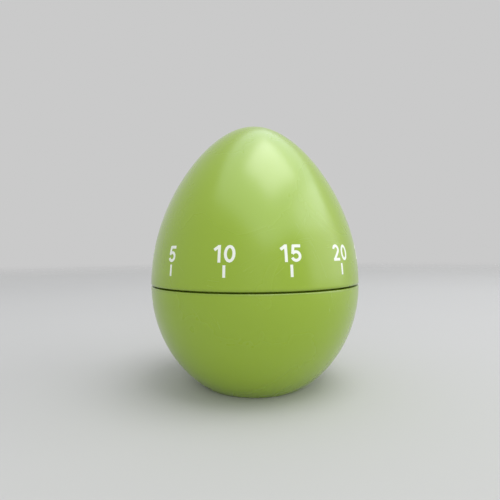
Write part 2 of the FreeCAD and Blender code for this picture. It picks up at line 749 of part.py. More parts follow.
def make_main_wheel():
    thickness = size("wheel_thickness")
    disc = bored(wheel_points(wheel_teeth, size("main_module"), leaves), thickness,
                 size("arbor_radius") + size("running_fit"), 3, size("main_window_reach"), click_turn + 120)
    rivet_hole = Part.makeCylinder(size("stop_pin_radius") + size("seat_fit"), thickness, click_axis)
    node(feature("main_wheel", disc.cut(rivet_hole), 0, 0, level("main_wheel_lift")), "main_wheel")

    at = (click_axis.x, click_axis.y)
    base = lower_plate_top + " + ratchet_lift - end_shake"
    rivet = fuse("click_rivet",
                 cylinder("click_rivet_stem", "stop_pin_radius",
                          "main_wheel_lift + wheel_thickness - ratchet_lift + end_shake", base, at),
                 cylinder("click_rivet_head", "post_radius", "end_shake", base + " - end_shake / 2", at),
                 cylinder("click_rivet_top", "post_radius", "end_shake",
                          lower_plate_top + " + main_wheel_lift + wheel_thickness", at))
    node(rivet, "click_rivet")

    # The click hooks in front of a ratchet tooth. Before it is turned, that tooth's face is on +X.
    # The outline goes up the side towards the wheel, round the eye and down the far side.
    tip = size("ratchet_tip")
    across = size("click_pivot_across")
    along = size("click_pivot_along")
    near = size("click_gap")
    inner_side = [(size("ratchet_root") + 0.15, near), (tip - 0.03, 1.4), (tip - 0.25, 2.5),
                  (across - 0.8, along - 0.5)]
    outer_side = [(across + 1.0, along - 0.2), (tip + 0.9, 1.5), (tip + 0.15, near)]
    blade = prism([Vector(x, y, 0) for x, y in inner_side + outer_side], thickness)
    pivot = Vector(across, along, 0)
    eye = Part.makeCylinder(size("click_eye"), thickness, pivot)
    hole = Part.makeCylinder(size("stop_pin_radius") + size("running_fit"), thickness, pivot)
    click = blade.fuse(eye).cut(hole).removeSplitter()
    node(feature("click", click, 0, 0, level("ratchet_lift"), click_turn), "click")

    low = level("ratchet_lift") + thickness + size("seat_fit")
    room = level("main_wheel_lift") - low
    wire = room / 2 - size("seat_fit")
    coil = Part.makeTorus(size("click_eye") - wire, wire, click_axis + Vector(0, 0, low + room / 2))
    node(feature("click_spring", coil), "click_spring")


click_turn = 360 / size("ratchet_teeth") * CLICK_TOOTH
click_axis = Rotation(Vector(0, 0, 1), click_turn).multVec(
    Vector(size("click_pivot_across"), size("click_pivot_along"), 0))


# ---------- train ----------

def shaft(name, axis):
    """A steel arbor between the plates: a stem with a thinner pivot at each end."""
    at = (axis.x, axis.y)
    stem = cylinder(name + "_stem", "shaft_radius", "plate_gap - end_shake",
                    lower_plate_top + " + end_shake / 2", at)
    pivots = cylinder(name + "_pivots", "pivot_radius",
                      "2 * plate_thickness + plate_gap + 2 * pivot_stand",
                      "plate_height - pivot_stand", at)
    return [stem, pivots]


def pinion(name, axis, module, meshes_at, toward):
    """Leaves cut on an arbor, with a gap between leaves facing the wheel that drives them."""
    points = pinion_points(leaves, module)
    low = meshes_at - (size("leaf_thickness") - size("wheel_thickness")) / 2
    turn = bearing(axis, toward) + 180 / leaves
    teeth = feature(name + "_leaves", prism(points, size("leaf_thickness")), axis.x, axis.y, low, turn)
    return node(fuse(name, teeth, *shaft(name, axis)), name)


def train_wheel(name, axis, height, toward):
    """A wheel pressed on its arbor, with a tooth facing the pinion that it drives."""
    module = size("train_module")
    window_reach = wheel_teeth * module / 4 + size("train_window_shift")
    disc = bored(wheel_points(wheel_teeth, module, leaves), size("wheel_thickness"),
                 size("shaft_radius") + size("seat_fit"), 4, window_reach)
    return node(feature(name, disc, axis.x, axis.y, height, bearing(axis, toward)), name)


def make_train():
    main_module = size("main_module")
    train_module = size("train_module")
    second_height = level("second_wheel_lift")
    third_height = level("third_wheel_lift")
    pinion("second_pinion", second_axis, main_module, level("main_wheel_lift"), main_axis)
    train_wheel("second_wheel", second_axis, second_height, third_axis)
    pinion("third_pinion", third_axis, train_module, second_height, second_axis)
    train_wheel("third_wheel", third_axis, third_height, escape_axis)
    pinion("escape_pinion", escape_axis, train_module, third_height, third_axis)

    # A gap between escape teeth faces each anchor pin at rest.
    points = tapered_teeth(escape_teeth, size("escape_root"), size("escape_tip"),
                           size("escape_tooth_base"), size("escape_tooth_top"))
    disc = bored(points, size("wheel_thickness"), size("shaft_radius") + size("seat_fit"))
    turn = bearing(escape_axis, anchor_axis) + half_span + 180 / escape_teeth
    node(feature("escape_wheel", disc, escape_axis.x, escape_axis.y, level("escape_lift"), turn),
         "escape_wheel")


def make_anchor():
    at = (anchor_axis.x, anchor_axis.y)
    node(fuse("anchor_arbor", *shaft("anchor_arbor_shaft", anchor_axis)), "anchor_arbor")
    low = lower_plate_top + " + anchor_lift"
    back = bearing(escape_axis, anchor_axis)
    arms = []
    pins = []
    holes = [cylinder("anchor_bore", "shaft_radius + seat_fit", "wheel_thickness", low, at)]
    for index, side in enumerate((-1, 1)):
        spot = escape_axis + polar(pin_circle, back + side * half_span)
        arms += bar(f"anchor_arm_{index}", anchor_axis.distanceToPoint(spot), "arm_half_width",
                    "wheel_thickness", low, at, bearing(anchor_axis, spot))
        arms.append(cylinder(f"anchor_toe_{index}", "arm_half_width", "wheel_thickness", low, (spot.x, spot.y)))
        holes.append(cylinder(f"anchor_pin_hole_{index}", "pin_radius + seat_fit", "wheel_thickness", low,
                              (spot.x, spot.y)))
        pins.append(cylinder(f"anchor_pin_{index}", "pin_radius",
                             "escape_lift + 2 * wheel_thickness - anchor_lift", low, (spot.x, spot.y)))
    boss = cylinder("anchor_boss", "2 * shaft_radius + seat_fit", "wheel_thickness", low, at)
    node(cut("anchor", fuse("anchor_blank", boss, *arms), *holes), "anchor")
    node(group("anchor_pins", *pins), "anchor_pins")

    # The balance is a heavy rim on two spokes; it sets how fast the anchor rocks.
    low = lower_plate_top + " + balance_lift"
    rim = cylinder("balance_rim_disc", "balance_radius", "wheel_thickness", low, at)
    well = cylinder("balance_well", "balance_radius - balance_rim", "wheel_thickness", low, at)
    spoke_start = (at[0] - size("balance_radius") + size("balance_rim") / 2, at[1])
    spoke = bar("balance_spoke", "2 * balance_radius - balance_rim", "shaft_radius", "wheel_thickness", low,
                spoke_start)
    hub = cylinder("balance_hub", "2 * shaft_radius", "wheel_thickness", low, at)
    bore = cylinder("balance_bore", "shaft_radius + seat_fit", "wheel_thickness", low, at)
    ring = cut("balance_ring", rim, well)
    node(cut("balance_disc", fuse("balance_blank", ring, hub, *spoke), bore), "balance_disc")


# ---------- strike work ----------

def strike_phase():
    """The hammer's pallet pin drops into a gap of the strike wheel when the hammer meets the bell."""
    struck = hammer_axis + polar(size("pallet_reach"), pallet_angle - size("hammer_swing"))
    return bearing(strike_axis, struck) + 180 / size("strike_teeth")


to_strike = bearing(hammer_axis, strike_axis)
pallet_rest = size("strike_tip") + size("pin_clearance") + size("pallet_pin_radius")
pallet_angle = to_strike + opposite_angle(size("pallet_reach"), hammer_axis.distanceToPoint(strike_axis),
                                          pallet_rest)

# The hammer head swings out until it almost touches the inside of the bell.
head_low = (size("plate_height") - size("bell_gap") - size("hammer_head_height")
            + size("hammer_head_lift"))
head_depth = size("hammer_head_height") - size("hammer_head_lift")
bell_share = head_depth / (size("bell_depth") - size("bell_wall"))
bell_inside = (size("bell_radius") - size("bell_wall")) * math.sqrt(1 - bell_share ** 2)
head_out = bell_inside - size("hammer_gap") - size("hammer_head_radius")
head_angle = (size("hammer_angle") + 180 - opposite_angle(pitch_main, size("hammer_reach"), head_out)
              + size("hammer_swing"))

# The release lever's finger stands in the way of the hammer's stop arm until the cam lets it drop.
finger_axis = hammer_axis + polar(size("finger_reach"), size("finger_angle"))
lever_axis = finger_axis + polar(size("finger_arm"), size("finger_angle") + 90)
finger_travel = size("finger_arm") * math.radians(size("lever_drop"))
nose_circle = size("cam_radius") + size("cam_gap") + size("nose_radius")
knee_circle = nose_circle + size("nose_length")
nose_angle = bearing(main_axis, lever_axis) + math.degrees(math.acos(knee_circle / lever_axis.Length))
knee_axis = polar(knee_circle, nose_angle)
stop_arm_angle = size("finger_angle") + math.degrees(
    (size("arm_half_width") + size("stop_arm_gap") + size("finger_radius")) / size("finger_reach"))


def eyed_arm(name, axis, arms, low, height, bore, eye):
    """A flat lever: round eye on an arbor, with bars as (length, angle, half width)."""
    at = (axis.x, axis.y)
    shapes = [cylinder(name + "_eye", eye, height, low, at)]
    for index, (length, angle, half_width) in enumerate(arms):
        shapes += bar(f"{name}_arm_{index}", length, half_width, height, low, at, angle)
    return fuse(name + "_blank", *shapes), cylinder(name + "_bore", bore, height, low, at)


def make_strike():
    pinion("strike_pinion", strike_axis, size("main_module"), level("main_wheel_lift"), main_axis)
    points = tapered_teeth(int(size("strike_teeth")), size("strike_root"), size("strike_tip"),
                           size("strike_tooth_base"), size("strike_tooth_top"))
    disc = bored(points, size("wheel_thickness"), size("shaft_radius") + size("seat_fit"))
    node(feature("strike_wheel", disc, strike_axis.x, strike_axis.y, level("strike_lift"), strike_phase()),
         "strike_wheel")

    at = (hammer_axis.x, hammer_axis.y)
    shaft_low = bell_rim + " + end_shake"
    stem = cylinder("hammer_stem", "shaft_radius", "plate_gap - end_shake",
                    lower_plate_top + " + end_shake / 2", at)
    pivots = cylinder("hammer_pivots", "pivot_radius",
                      f"{upper_plate_top} + pivot_stand - ({shaft_low})", shaft_low, at)
    node(fuse("hammer_arbor", stem, pivots), "hammer_arbor")

    arm_low = bell_rim + " + 2 * end_shake"
    arm_height = "bell_gap - 4 * end_shake"
    reach = size("hammer_reach")
    blank, bore = eyed_arm("hammer_arm", hammer_axis, [(reach, head_angle, "arm_half_width")],
                           arm_low, arm_height, "pivot_radius + seat_fit", "shaft_radius + pivot_radius")
    head_spot = hammer_axis + polar(reach, head_angle)
    head_at = (head_spot.x, head_spot.y)
    toe = cylinder("hammer_arm_toe", "arm_half_width + pivot_radius", arm_height, arm_low, head_at)
    hole = cylinder("hammer_arm_hole", "pivot_radius + seat_fit", arm_height, arm_low, head_at)
    node(cut("hammer_arm", fuse("hammer_arm_whole", blank, toe), bore, hole), "hammer_arm")
    head = cylinder("hammer_head_body", "hammer_head_radius", f"{arm_low} - ({head_low})", head_low, head_at)
    tail = cylinder("hammer_head_rivet", "pivot_radius", f"{arm_height} + end_shake", arm_low, head_at)
    node(fuse("hammer_head", head, tail), "hammer_head")

    # The pallet lies above the strike wheel, and its pin hangs down beside the teeth.
    strike_low = lower_plate_top + " + strike_lift"
    pallet_low = strike_low + " + wheel_thickness + 2 * end_shake"
    blank, bore = eyed_arm("hammer_pallet", hammer_axis,
                           [("pallet_reach", pallet_angle, "arm_half_width")],
                           pallet_low, "wheel_thickness - end_shake", "shaft_radius + seat_fit",
                           "2 * shaft_radius")
    pin_spot = hammer_axis + polar(size("pallet_reach"), pallet_angle)
    pin = cylinder("pallet_pin", "pallet_pin_radius", "2 * wheel_thickness + end_shake",
                   strike_low, (pin_spot.x, pin_spot.y))
    toe = cylinder("pallet_toe", "arm_half_width", "wheel_thickness - end_shake", pallet_low,
                   (pin_spot.x, pin_spot.y))
    node(cut("hammer_pallet", fuse("hammer_pallet_whole", blank, toe, pin), bore), "hammer_pallet")

    stop_low = lower_plate_top + " + main_wheel_lift + 2 * wheel_thickness"
    blank, bore = eyed_arm("stop_arm", hammer_axis, [("stop_arm_reach", stop_arm_angle, "arm_half_width")],
                           stop_low, "wheel_thickness", "shaft_radius + seat_fit", "2 * shaft_radius")
    node(cut("hammer_stop_arm", blank, bore), "hammer_stop_arm")


def make_lever():
    low = upper_plate_top + " + upper_gap + wheel_thickness + 2 * end_shake"
    knee_reach = lever_axis.distanceToPoint(knee_axis)
    blank, bore = eyed_arm("release_lever", lever_axis,
                           [(knee_reach, bearing(lever_axis, knee_axis), "nose_radius"),
                            ("finger_arm", bearing(lever_axis, finger_axis), "nose_radius")],
                           low, "wheel_thickness", "stud_radius + running_fit", "2 * stud_radius")
    nose_axis = polar(nose_circle, nose_angle)
    nose = bar("lever_nose", "nose_length", "nose_radius", "wheel_thickness", low,
               (nose_axis.x, nose_axis.y), nose_angle)
    knee = cylinder("lever_knee", "nose_radius", "wheel_thickness", low, (knee_axis.x, knee_axis.y))
    finger_at = (finger_axis.x, finger_axis.y)
    toe = cylinder("lever_toe", "2 * finger_radius", "wheel_thickness", low, finger_at)
    hole = cylinder("finger_hole", "finger_radius + seat_fit", "wheel_thickness", low, finger_at)
    whole = fuse("release_lever_whole", blank, *nose, knee, toe)
    node(cut("release_lever", whole, bore, hole), "release_lever")

    finger_low = lower_plate_top + " + main_wheel_lift + 2 * wheel_thickness - end_shake"
    finger = cylinder("release_finger", "finger_radius", f"{low} + wheel_thickness - ({finger_low})",
                      finger_low, finger_at)
    node(finger, "release_finger")

    at = (lever_axis.x, lever_axis.y)
    stem_height = f"{low} + wheel_thickness + end_shake - ({upper_plate_base})"
    stud = fuse("lever_stud",
                cylinder("stud_stem", "stud_radius", stem_height, upper_plate_base, at),
                cylinder("stud_collar", "stud_shoulder", "upper_gap + end_shake", upper_plate_top, at),
                cylinder("stud_head", "stud_shoulder", "spring_thickness + end_shake",
                         f"{low} + wheel_thickness + end_shake", at))
    node(stud, "lever_stud")

    # Two turns of wire on the stud, each a little closer to the next than its own thickness.
    turns = []
    for turn in range(2):
        coil = bind(doc.addObject("Part::Torus", f"lever_coil_{turn}"), Radius2="spring_wire / 2",
                    Radius1="stud_radius + running_fit + spring_wire / 2")
        rise = f" + upper_gap + end_shake + spring_wire * {0.5 + 0.9 * turn}"
        place(coil, at[0], at[1], upper_plate_top + rise)
        turns.append(coil)
    node(fuse("lever_spring", *turns), "lever_spring")

    stop = polar(size("stop_reach"), size("stop_angle"))
    node(cylinder("stop_pin", "stop_pin_radius", "plate_thickness + wheel_thickness", upper_plate_base,
                  (stop.x, stop.y)), "stop_pin")


make_base_shell()
make_upper_shell()
make_bell()
make_plates()
make_mainspring()
make_main_arbor()
make_main_wheel()
make_train()
make_anchor()
make_strike()
make_lever()
doc.recompute()

# ---------- checks and files ----------

for item in doc.Objects:
    if "Invalid" in item.State or "Error" in item.State:
        raise RuntimeError(f"{item.Label} failed: {item.State}")
for item in nodes:
    if item.Shape.isNull() or not item.Shape.isValid() or not item.Shape.Solids:
        raise RuntimeError(f"{item.Label} is not a valid solid")

os.makedirs("parts", exist_ok=True)
for item in nodes:
    item.Shape.exportStep(f"parts/{item.Label}.step")
    print(f"{item.Label}: {len(item.Shape.Solids)} solid(s), {item.Shape.Volume:.1f} mm3")

AXES = {
    "second": second_axis, "third": third_axis, "escape": escape_axis, "anchor": anchor_axis,
    "strike": strike_axis, "hammer": hammer_axis, "lever": lever_axis, "click": click_axis,
}
for name, axis in AXES.items():
    print(f"axis of {name}: {axis.x:.4f}, {axis.y:.4f}")
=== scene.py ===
import math

import bmesh
import bpy
from mathutils import Matrix, Vector


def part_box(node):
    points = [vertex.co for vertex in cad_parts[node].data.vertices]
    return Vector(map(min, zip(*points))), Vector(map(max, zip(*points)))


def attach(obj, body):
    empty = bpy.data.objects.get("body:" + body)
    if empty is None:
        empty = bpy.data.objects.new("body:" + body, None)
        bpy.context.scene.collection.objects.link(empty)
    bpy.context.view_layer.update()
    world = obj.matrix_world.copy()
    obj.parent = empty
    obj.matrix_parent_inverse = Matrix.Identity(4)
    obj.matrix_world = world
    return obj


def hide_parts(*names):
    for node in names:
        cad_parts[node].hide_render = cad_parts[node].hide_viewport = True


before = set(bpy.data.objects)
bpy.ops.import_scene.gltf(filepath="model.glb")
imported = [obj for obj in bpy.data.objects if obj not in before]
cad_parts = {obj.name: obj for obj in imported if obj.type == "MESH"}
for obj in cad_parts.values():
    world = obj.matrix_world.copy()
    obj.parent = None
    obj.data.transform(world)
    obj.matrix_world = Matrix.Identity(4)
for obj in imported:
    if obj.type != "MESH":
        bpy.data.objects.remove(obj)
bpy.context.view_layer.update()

# ---------- Lower shell ----------
# The lower half of the egg: lime-green ABS, moulded in one piece with the lip that centres the
# dial, three bosses for the movement's screws and one for the bell. It stands on a flat foot rim
# round a shallow recess, with the mould's gate mark in its middle.

egg_low, egg_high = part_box("upper_shell")
egg_radius = egg_high.x
seam_gap = 0.0004
seam = egg_low.z - seam_gap / 2
shell_wall = 0.0018
edge_break = 0.0003

base_depth = 0.0335
floor_wall = 0.0018
foot_rim = 0.0025
foot_recess = 0.0005
lip_clearance = 0.0003
lip_wall = 0.0013
lip_rise = 0.0016
lip_drop = 0.0032
boss_radius = 0.0026
boss_reach = 0.022
boss_angles = (90, 210, 330)
boss_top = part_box("lower_plate")[0].z
screw_hole_radius = 0.00092
screw_hole_spare = 0.0002
screw_hole_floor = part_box("movement_screws")[0].z - screw_hole_spare
bell_boss_radius = 0.0035
bell_boss_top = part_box("bell")[0].z
bell_hole_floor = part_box("bell_screw")[0].z - screw_hole_spare
gate_mark_radius = 0.0009
gate_mark_low = 0.0003

segments = 192
wall_rows = 64
meeting = 1e-6
edge_angle = math.radians(35)


def feed(tree, socket, value):
    """Links a socket to another one, or sets it to a plain value."""
    if isinstance(value, bpy.types.NodeSocket):
        tree.links.new(value, socket)
    else:
        socket.default_value = value


def put(tree, kind, values=None, **options):
    """Adds one node. Its sockets are fed by name or number; options are the node's own settings."""
    node = tree.nodes.new(kind)
    for name, value in options.items():
        setattr(node, name, value)
    for key, value in (values or {}).items():
        feed(tree, node.inputs[key], value)
    return node


def reckon(tree, operation, *values):
    """One Math node, by its operation's name."""
    return put(tree, "ShaderNodeMath", dict(enumerate(values)), operation=operation).outputs[0]


def summed(tree, start, *parts):
    """A start value, plus each mask times its share."""
    for mask, share in parts:
        start = reckon(tree, "MULTIPLY_ADD", mask, share, start)
    return start


def ramp(tree, value, start, end, low=0.0, high=1.0, **options):
    """Goes from low to high while the value goes from start to end, and stays there beyond."""
    values = {"Value": value, "From Min": start, "From Max": end, "To Min": low, "To Max": high}
    return put(tree, "ShaderNodeMapRange", values, **options).outputs[0]


def noise(tree, place, scale, detail, **settings):
    """Smooth noise round a middle of 0.5, with its other sockets as settings."""
    values = {"Vector": place, "Scale": scale, "Detail": detail, **settings}
    return put(tree, "ShaderNodeTexNoise", values).outputs[0]


def own_place(tree):
    """Where a point lies on its piece, in metres, for a material."""
    return tree.nodes.new("ShaderNodeTexCoord").outputs["Object"]


def corner_place(tree):
    """X, Y and Z of a mesh's corners, in a Geometry Nodes tree."""
    place = tree.nodes.new("GeometryNodeInputPosition").outputs[0]
    return put(tree, "ShaderNodeSeparateXYZ", {0: place}).outputs


def painted(tree, geometry, material, result):
    """Ends a Geometry Nodes tree: copies made real, and a material on all of it."""
    real = put(tree, "GeometryNodeRealizeInstances", {0: geometry})
    done = put(tree, "GeometryNodeSetMaterial", {"Geometry": real.outputs[0], "Material": material})
    feed(tree, result, done.outputs[0])


def use(tree, group, **values):
    """Places a shared effect with its own values; an underscore in a name stands for a space."""
    kind = "GeometryNodeGroup" if tree.bl_idname == "GeometryNodeTree" else "ShaderNodeGroup"
    node = put(tree, kind, None, node_tree=group)
    for name, value in values.items():
        feed(tree, node.inputs[name.replace("_", " ")], value)
    return node.outputs


def new_group(name, kind, takes, gives):
    """A node group. Each input is given its first value, or the type of socket where it has none."""
    types = {float: "NodeSocketFloat", int: "NodeSocketInt", tuple: "NodeSocketVector"}
    group = bpy.data.node_groups.new(name, kind)
    for title, value in takes.items():
        socket_type = types.get(type(value), value)
        socket = group.interface.new_socket(title, in_out="INPUT", socket_type=socket_type)
        if type(value) in types:
            socket.default_value = value
    for title, socket_type in gives.items():
        group.interface.new_socket(title, in_out="OUTPUT", socket_type=socket_type)
    return group, group.nodes.new("NodeGroupInput").outputs, group.nodes.new("NodeGroupOutput").inputs


def egg_surface_group():
    """Position on the egg: r = radius cos t (1 - taper sin^2 t), z = seam + rise sin t, with t the
    latitude. Proud moves it outwards, and a negative rise is the half below the seam."""
    takes = dict.fromkeys(("Turn", "Latitude", "Proud", "Radius", "Rise", "Taper", "Seam"), 0.0)
    gives = {"Position": "NodeSocketVector"}
    tree, given, result = new_group("egg surface", "GeometryNodeTree", takes, gives)
    sine = reckon(tree, "SINE", given["Latitude"])
    cosine = reckon(tree, "COSINE", given["Latitude"])
    narrowing = reckon(tree, "MULTIPLY", given["Taper"], reckon(tree, "POWER", sine, 2.0))
    radius = reckon(tree, "MULTIPLY", reckon(tree, "ADD", given["Radius"], given["Proud"]), cosine)
    radius = reckon(tree, "MULTIPLY", radius, reckon(tree, "SUBTRACT", 1.0, narrowing))
    side = reckon(tree, "SIGN", given["Rise"])
    rise = reckon(tree, "MULTIPLY_ADD", side, given["Proud"], given["Rise"])
    height = reckon(tree, "MULTIPLY_ADD", rise, sine, given["Seam"])
    x = reckon(tree, "MULTIPLY", radius, reckon(tree, "COSINE", given["Turn"]))
    y = reckon(tree, "MULTIPLY", radius, reckon(tree, "SINE", given["Turn"]))
    place = put(tree, "ShaderNodeCombineXYZ", {"X": x, "Y": y, "Z": height})
    feed(tree, result["Position"], place.outputs[0])
    return tree


def egg_wall_tree():
    """A turned wall of the egg between two latitudes, all the way round."""
    takes = {"Radius": 0.03, "Rise": 0.046, "Taper": 0.0, "Seam": 0.029, "Proud": 0.0, "From": 0.0,
             "To": 1.0, "Segments": segments, "Rows": wall_rows, "Material": "NodeSocketMaterial"}
    gives = {"Wall": "NodeSocketGeometry"}
    tree, given, result = new_group("egg wall", "GeometryNodeTree", takes, gives)
    grid = put(tree, "GeometryNodeMeshGrid", {
        "Size X": 1.0, "Size Y": 1.0, "Vertices X": reckon(tree, "ADD", given["Segments"], 1.0),
        "Vertices Y": reckon(tree, "ADD", given["Rows"], 1.0)})
    spot = corner_place(tree)
    turn = reckon(tree, "MULTIPLY", reckon(tree, "ADD", spot["X"], 0.5), math.tau)
    share = reckon(tree, "ADD", spot["Y"], 0.5)
    span = reckon(tree, "SUBTRACT", given["To"], given["From"])
    latitude = reckon(tree, "MULTIPLY_ADD", share, span, given["From"])
    form = {name: given[name] for name in ("Proud", "Radius", "Rise", "Taper", "Seam")}
    surface = use(tree, egg_surface, Turn=turn, Latitude=latitude, **form)
    placed = put(tree, "GeometryNodeSetPosition", {
        "Geometry": grid.outputs[0], "Position": surface["Position"]})
    closed = put(tree, "GeometryNodeMergeByDistance", {"Geometry": placed.outputs[0], "Distance": meeting})
    painted(tree, closed.outputs[0], given["Material"], result["Wall"])
    return tree


def mesh_of(name, shape):
    """The mesh of a finished bmesh, which is used up."""
    mesh = bpy.data.meshes.new(name)
    shape.to_mesh(mesh)
    shape.free()
    return mesh


def new_piece(name, mesh):
    """An object in the scene, at the origin."""
    piece = bpy.data.objects.new(name, mesh)
    bpy.context.scene.collection.objects.link(piece)
    return piece


def settle(piece):
    """Turns a piece's modifiers into its own plain mesh."""
    bpy.context.view_layer.update()
    made = bpy.data.meshes.new_from_object(piece.evaluated_get(bpy.context.evaluated_depsgraph_get()))
    piece.modifiers.clear()
    piece.data = made
    return piece


def grown(name, tree, sizes, start=None):
    """The plain mesh that a Geometry Nodes tree makes with these sizes."""
    piece = new_piece(name, start or bpy.data.meshes.new(name))
    modifier = piece.modifiers.new("nodes", "NODES")
    modifier.node_group = tree
    for item in tree.interface.items_tree:
        if item.in_out == "INPUT" and item.name in sizes:
            modifier[item.identifier] = sizes[item.name]
    return settle(piece)


def turned(*corners):
    """A mesh turned about Z from (radius, height) corners, open at its ends."""
    shape = bmesh.new()
    rings = []
    for radius, height in corners:
        count = segments if radius > 0 else 1
        turns = [math.tau * index / segments for index in range(count)]
        places = [(radius * math.cos(turn), radius * math.sin(turn), height) for turn in turns]
        rings.append([shape.verts.new(place) for place in places])
    for first, second in zip(rings, rings[1:]):
        for index in range(segments):
            after = (index + 1) % segments
            corner = [first[index % len(first)], first[after % len(first)],
                      second[after % len(second)], second[index % len(second)]]
            shape.faces.new(list(dict.fromkeys(corner)))
    return mesh_of("turned", shape)


def closed_up(name, *meshes):
    """One closed piece from meshes that share their edges, with its faces outwards."""
    shape = bmesh.new()
    for mesh in meshes:
        shape.from_mesh(mesh)
    bmesh.ops.remove_doubles(shape, verts=shape.verts, dist=meeting)
    bmesh.ops.dissolve_degenerate(shape, edges=shape.edges, dist=meeting / 10)
    bmesh.ops.recalc_face_normals(shape, faces=shape.faces)
    return new_piece(name, mesh_of(name, shape))


def rounded(piece, width, steps=3):
    """Breaks the sharp edges with a small radius."""
    bevel = piece.modifiers.new("edges", "BEVEL")
    bevel.width = width
    bevel.segments = steps
    bevel.limit_method = "ANGLE"
    bevel.angle_limit = edge_angle
    return settle(piece)


def combined(piece, operation, *tools):
    """Joins, cuts or trims a piece with others, which are used up."""
    for tool in tools:
        change = piece.modifiers.new("shape", "BOOLEAN")
        change.operation = operation
        change.solver = "MANIFOLD"
        change.object = tool
    settle(piece)
    for tool in tools:
        bpy.data.objects.remove(tool)
    return piece


def post(name, radius, low, high, at=(0, 0)):
    """A closed round post."""
    piece = closed_up(name, turned((0, low), (radius, low), (radius, high), (0, high)))
    piece.data.transform(Matrix.Translation((at[0], at[1], 0)))
    return piece


def polar(radius, degrees):
    """X and Y of a point at a radius and an angle."""
    turn = math.radians(degrees)
    return radius * math.cos(turn), radius * math.sin(turn)


def finished(piece, body, material, replaced=()):
    """Smooth shading with sharp edges, one material, and the body that the piece moves with."""
    mesh = piece.data
    mesh.materials.clear()
    mesh.materials.append(material)
    mesh.shade_smooth()
    mesh.set_sharp_from_angle(angle=edge_angle)
    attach(piece, body)
    if replaced:
        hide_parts(*replaced)
    return piece


def edge_wear_group():
    """Mask of rubbed edges: where a rounded normal leaves the true one, broken up by noise."""
    takes = {"Width": 0.0002, "Patchiness": 900.0, "Amount": 1.0}
    contrast = 6.0
    tree, given, result = new_group("edge wear", "ShaderNodeTree", takes, {"Wear": "NodeSocketFloat"})
    bevel = put(tree, "ShaderNodeBevel", {"Radius": given["Width"]}, samples=4)
    true_normal = tree.nodes.new("ShaderNodeNewGeometry").outputs["Normal"]
    facing = put(tree, "ShaderNodeVectorMath", {
        0: bevel.outputs[0], 1: true_normal}, operation="DOT_PRODUCT").outputs["Value"]
    edge = reckon(tree, "MULTIPLY", reckon(tree, "SUBTRACT", 1.0, facing), contrast)
    patches = noise(tree, own_place(tree), given["Patchiness"], detail=3.0)
    mask = reckon(tree, "MULTIPLY", reckon(tree, "MULTIPLY", edge, patches), given["Amount"])
    feed(tree, result["Wear"], put(tree, "ShaderNodeClamp", {0: mask}).outputs[0])
    return tree


def scratches_group():
    """Mask of fine hairline scratches: sparse patches of nearly straight lines in three directions."""
    takes = {"Scale": 120.0, "Fineness": 0.02, "Amount": 1.0}
    gives = {"Scratch": "NodeSocketFloat"}
    directions = ((0.3, 0.9, 0.5), (1.2, -0.4, 2.0), (0.2, 0.5, 2.6))
    drawn_out = (1.0, 30.0, 30.0)
    patch_scale = 180.0
    area_scale = 90.0
    tree, given, result = new_group("hairline scratches", "ShaderNodeTree", takes, gives)
    place = own_place(tree)
    lines = 0.0
    for direction in directions:
        drawn = put(tree, "ShaderNodeMapping", {
            "Vector": place, "Rotation": direction, "Scale": drawn_out}, vector_type="TEXTURE").outputs[0]
        wander = noise(tree, drawn, given["Scale"], detail=2.0)
        middle = reckon(tree, "ABSOLUTE", reckon(tree, "SUBTRACT", wander, 0.5))
        line = reckon(tree, "LESS_THAN", middle, given["Fineness"])
        patch = ramp(tree, noise(tree, drawn, patch_scale, detail=1.0), start=0.56, end=0.68)
        lines = reckon(tree, "MAXIMUM", lines, reckon(tree, "MULTIPLY", line, patch))
    area = ramp(tree, noise(tree, place, area_scale, detail=1.0), start=0.48, end=0.60)
    mask = reckon(tree, "MULTIPLY", lines, area)
    feed(tree, result["Scratch"], reckon(tree, "MULTIPLY", mask, given["Amount"]))
    return tree


def moulded_skin_group():
    """Moulded plastic: a faint orange peel for the bump, and a cloudy mask of finger marks."""
    takes = {"Peel Scale": 700.0, "Cloud Scale": 60.0}
    gives = {"Height": "NodeSocketFloat", "Smudge": "NodeSocketFloat"}
    tree, given, result = new_group("moulded skin", "ShaderNodeTree", takes, gives)
    place = own_place(tree)
    peel = noise(tree, place, given["Peel Scale"], detail=2.0, Roughness=0.45)
    cloud = noise(tree, place, given["Cloud Scale"], detail=4.0, Distortion=0.6)
    feed(tree, result["Height"], peel)
    feed(tree, result["Smudge"], ramp(tree, cloud, start=0.45, end=0.75))
    return tree


def new_material(name):
    """An empty node material with its shader, and its tree."""
    material = bpy.data.materials.new(name)
    material.use_nodes = True
    shader = next(node for node in material.node_tree.nodes if node.type == "BSDF_PRINCIPLED")
    return material, material.node_tree, shader


def roughened(tree, shader, height, strength, distance):
    """Bumps the shader's normal by a height. Distance is what a height of 1 stands out, in metres."""
    bump = put(tree, "ShaderNodeBump", {"Height": height, "Strength": strength, "Distance": distance})
    feed(tree, shader.inputs["Normal"], bump.outputs[0])


def blend(tree, share, first, second):
    """Mixes two colours by a mask. A Mix node's colours are its inputs 6 and 7 and its output 2."""
    return put(tree, "ShaderNodeMix", {0: share, 6: first, 7: second}, data_type="RGBA").outputs[2]


egg_surface = egg_surface_group()
egg_wall = egg_wall_tree()
edge_wear = edge_wear_group()
scratches = scratches_group()
moulded_skin = moulded_skin_group()


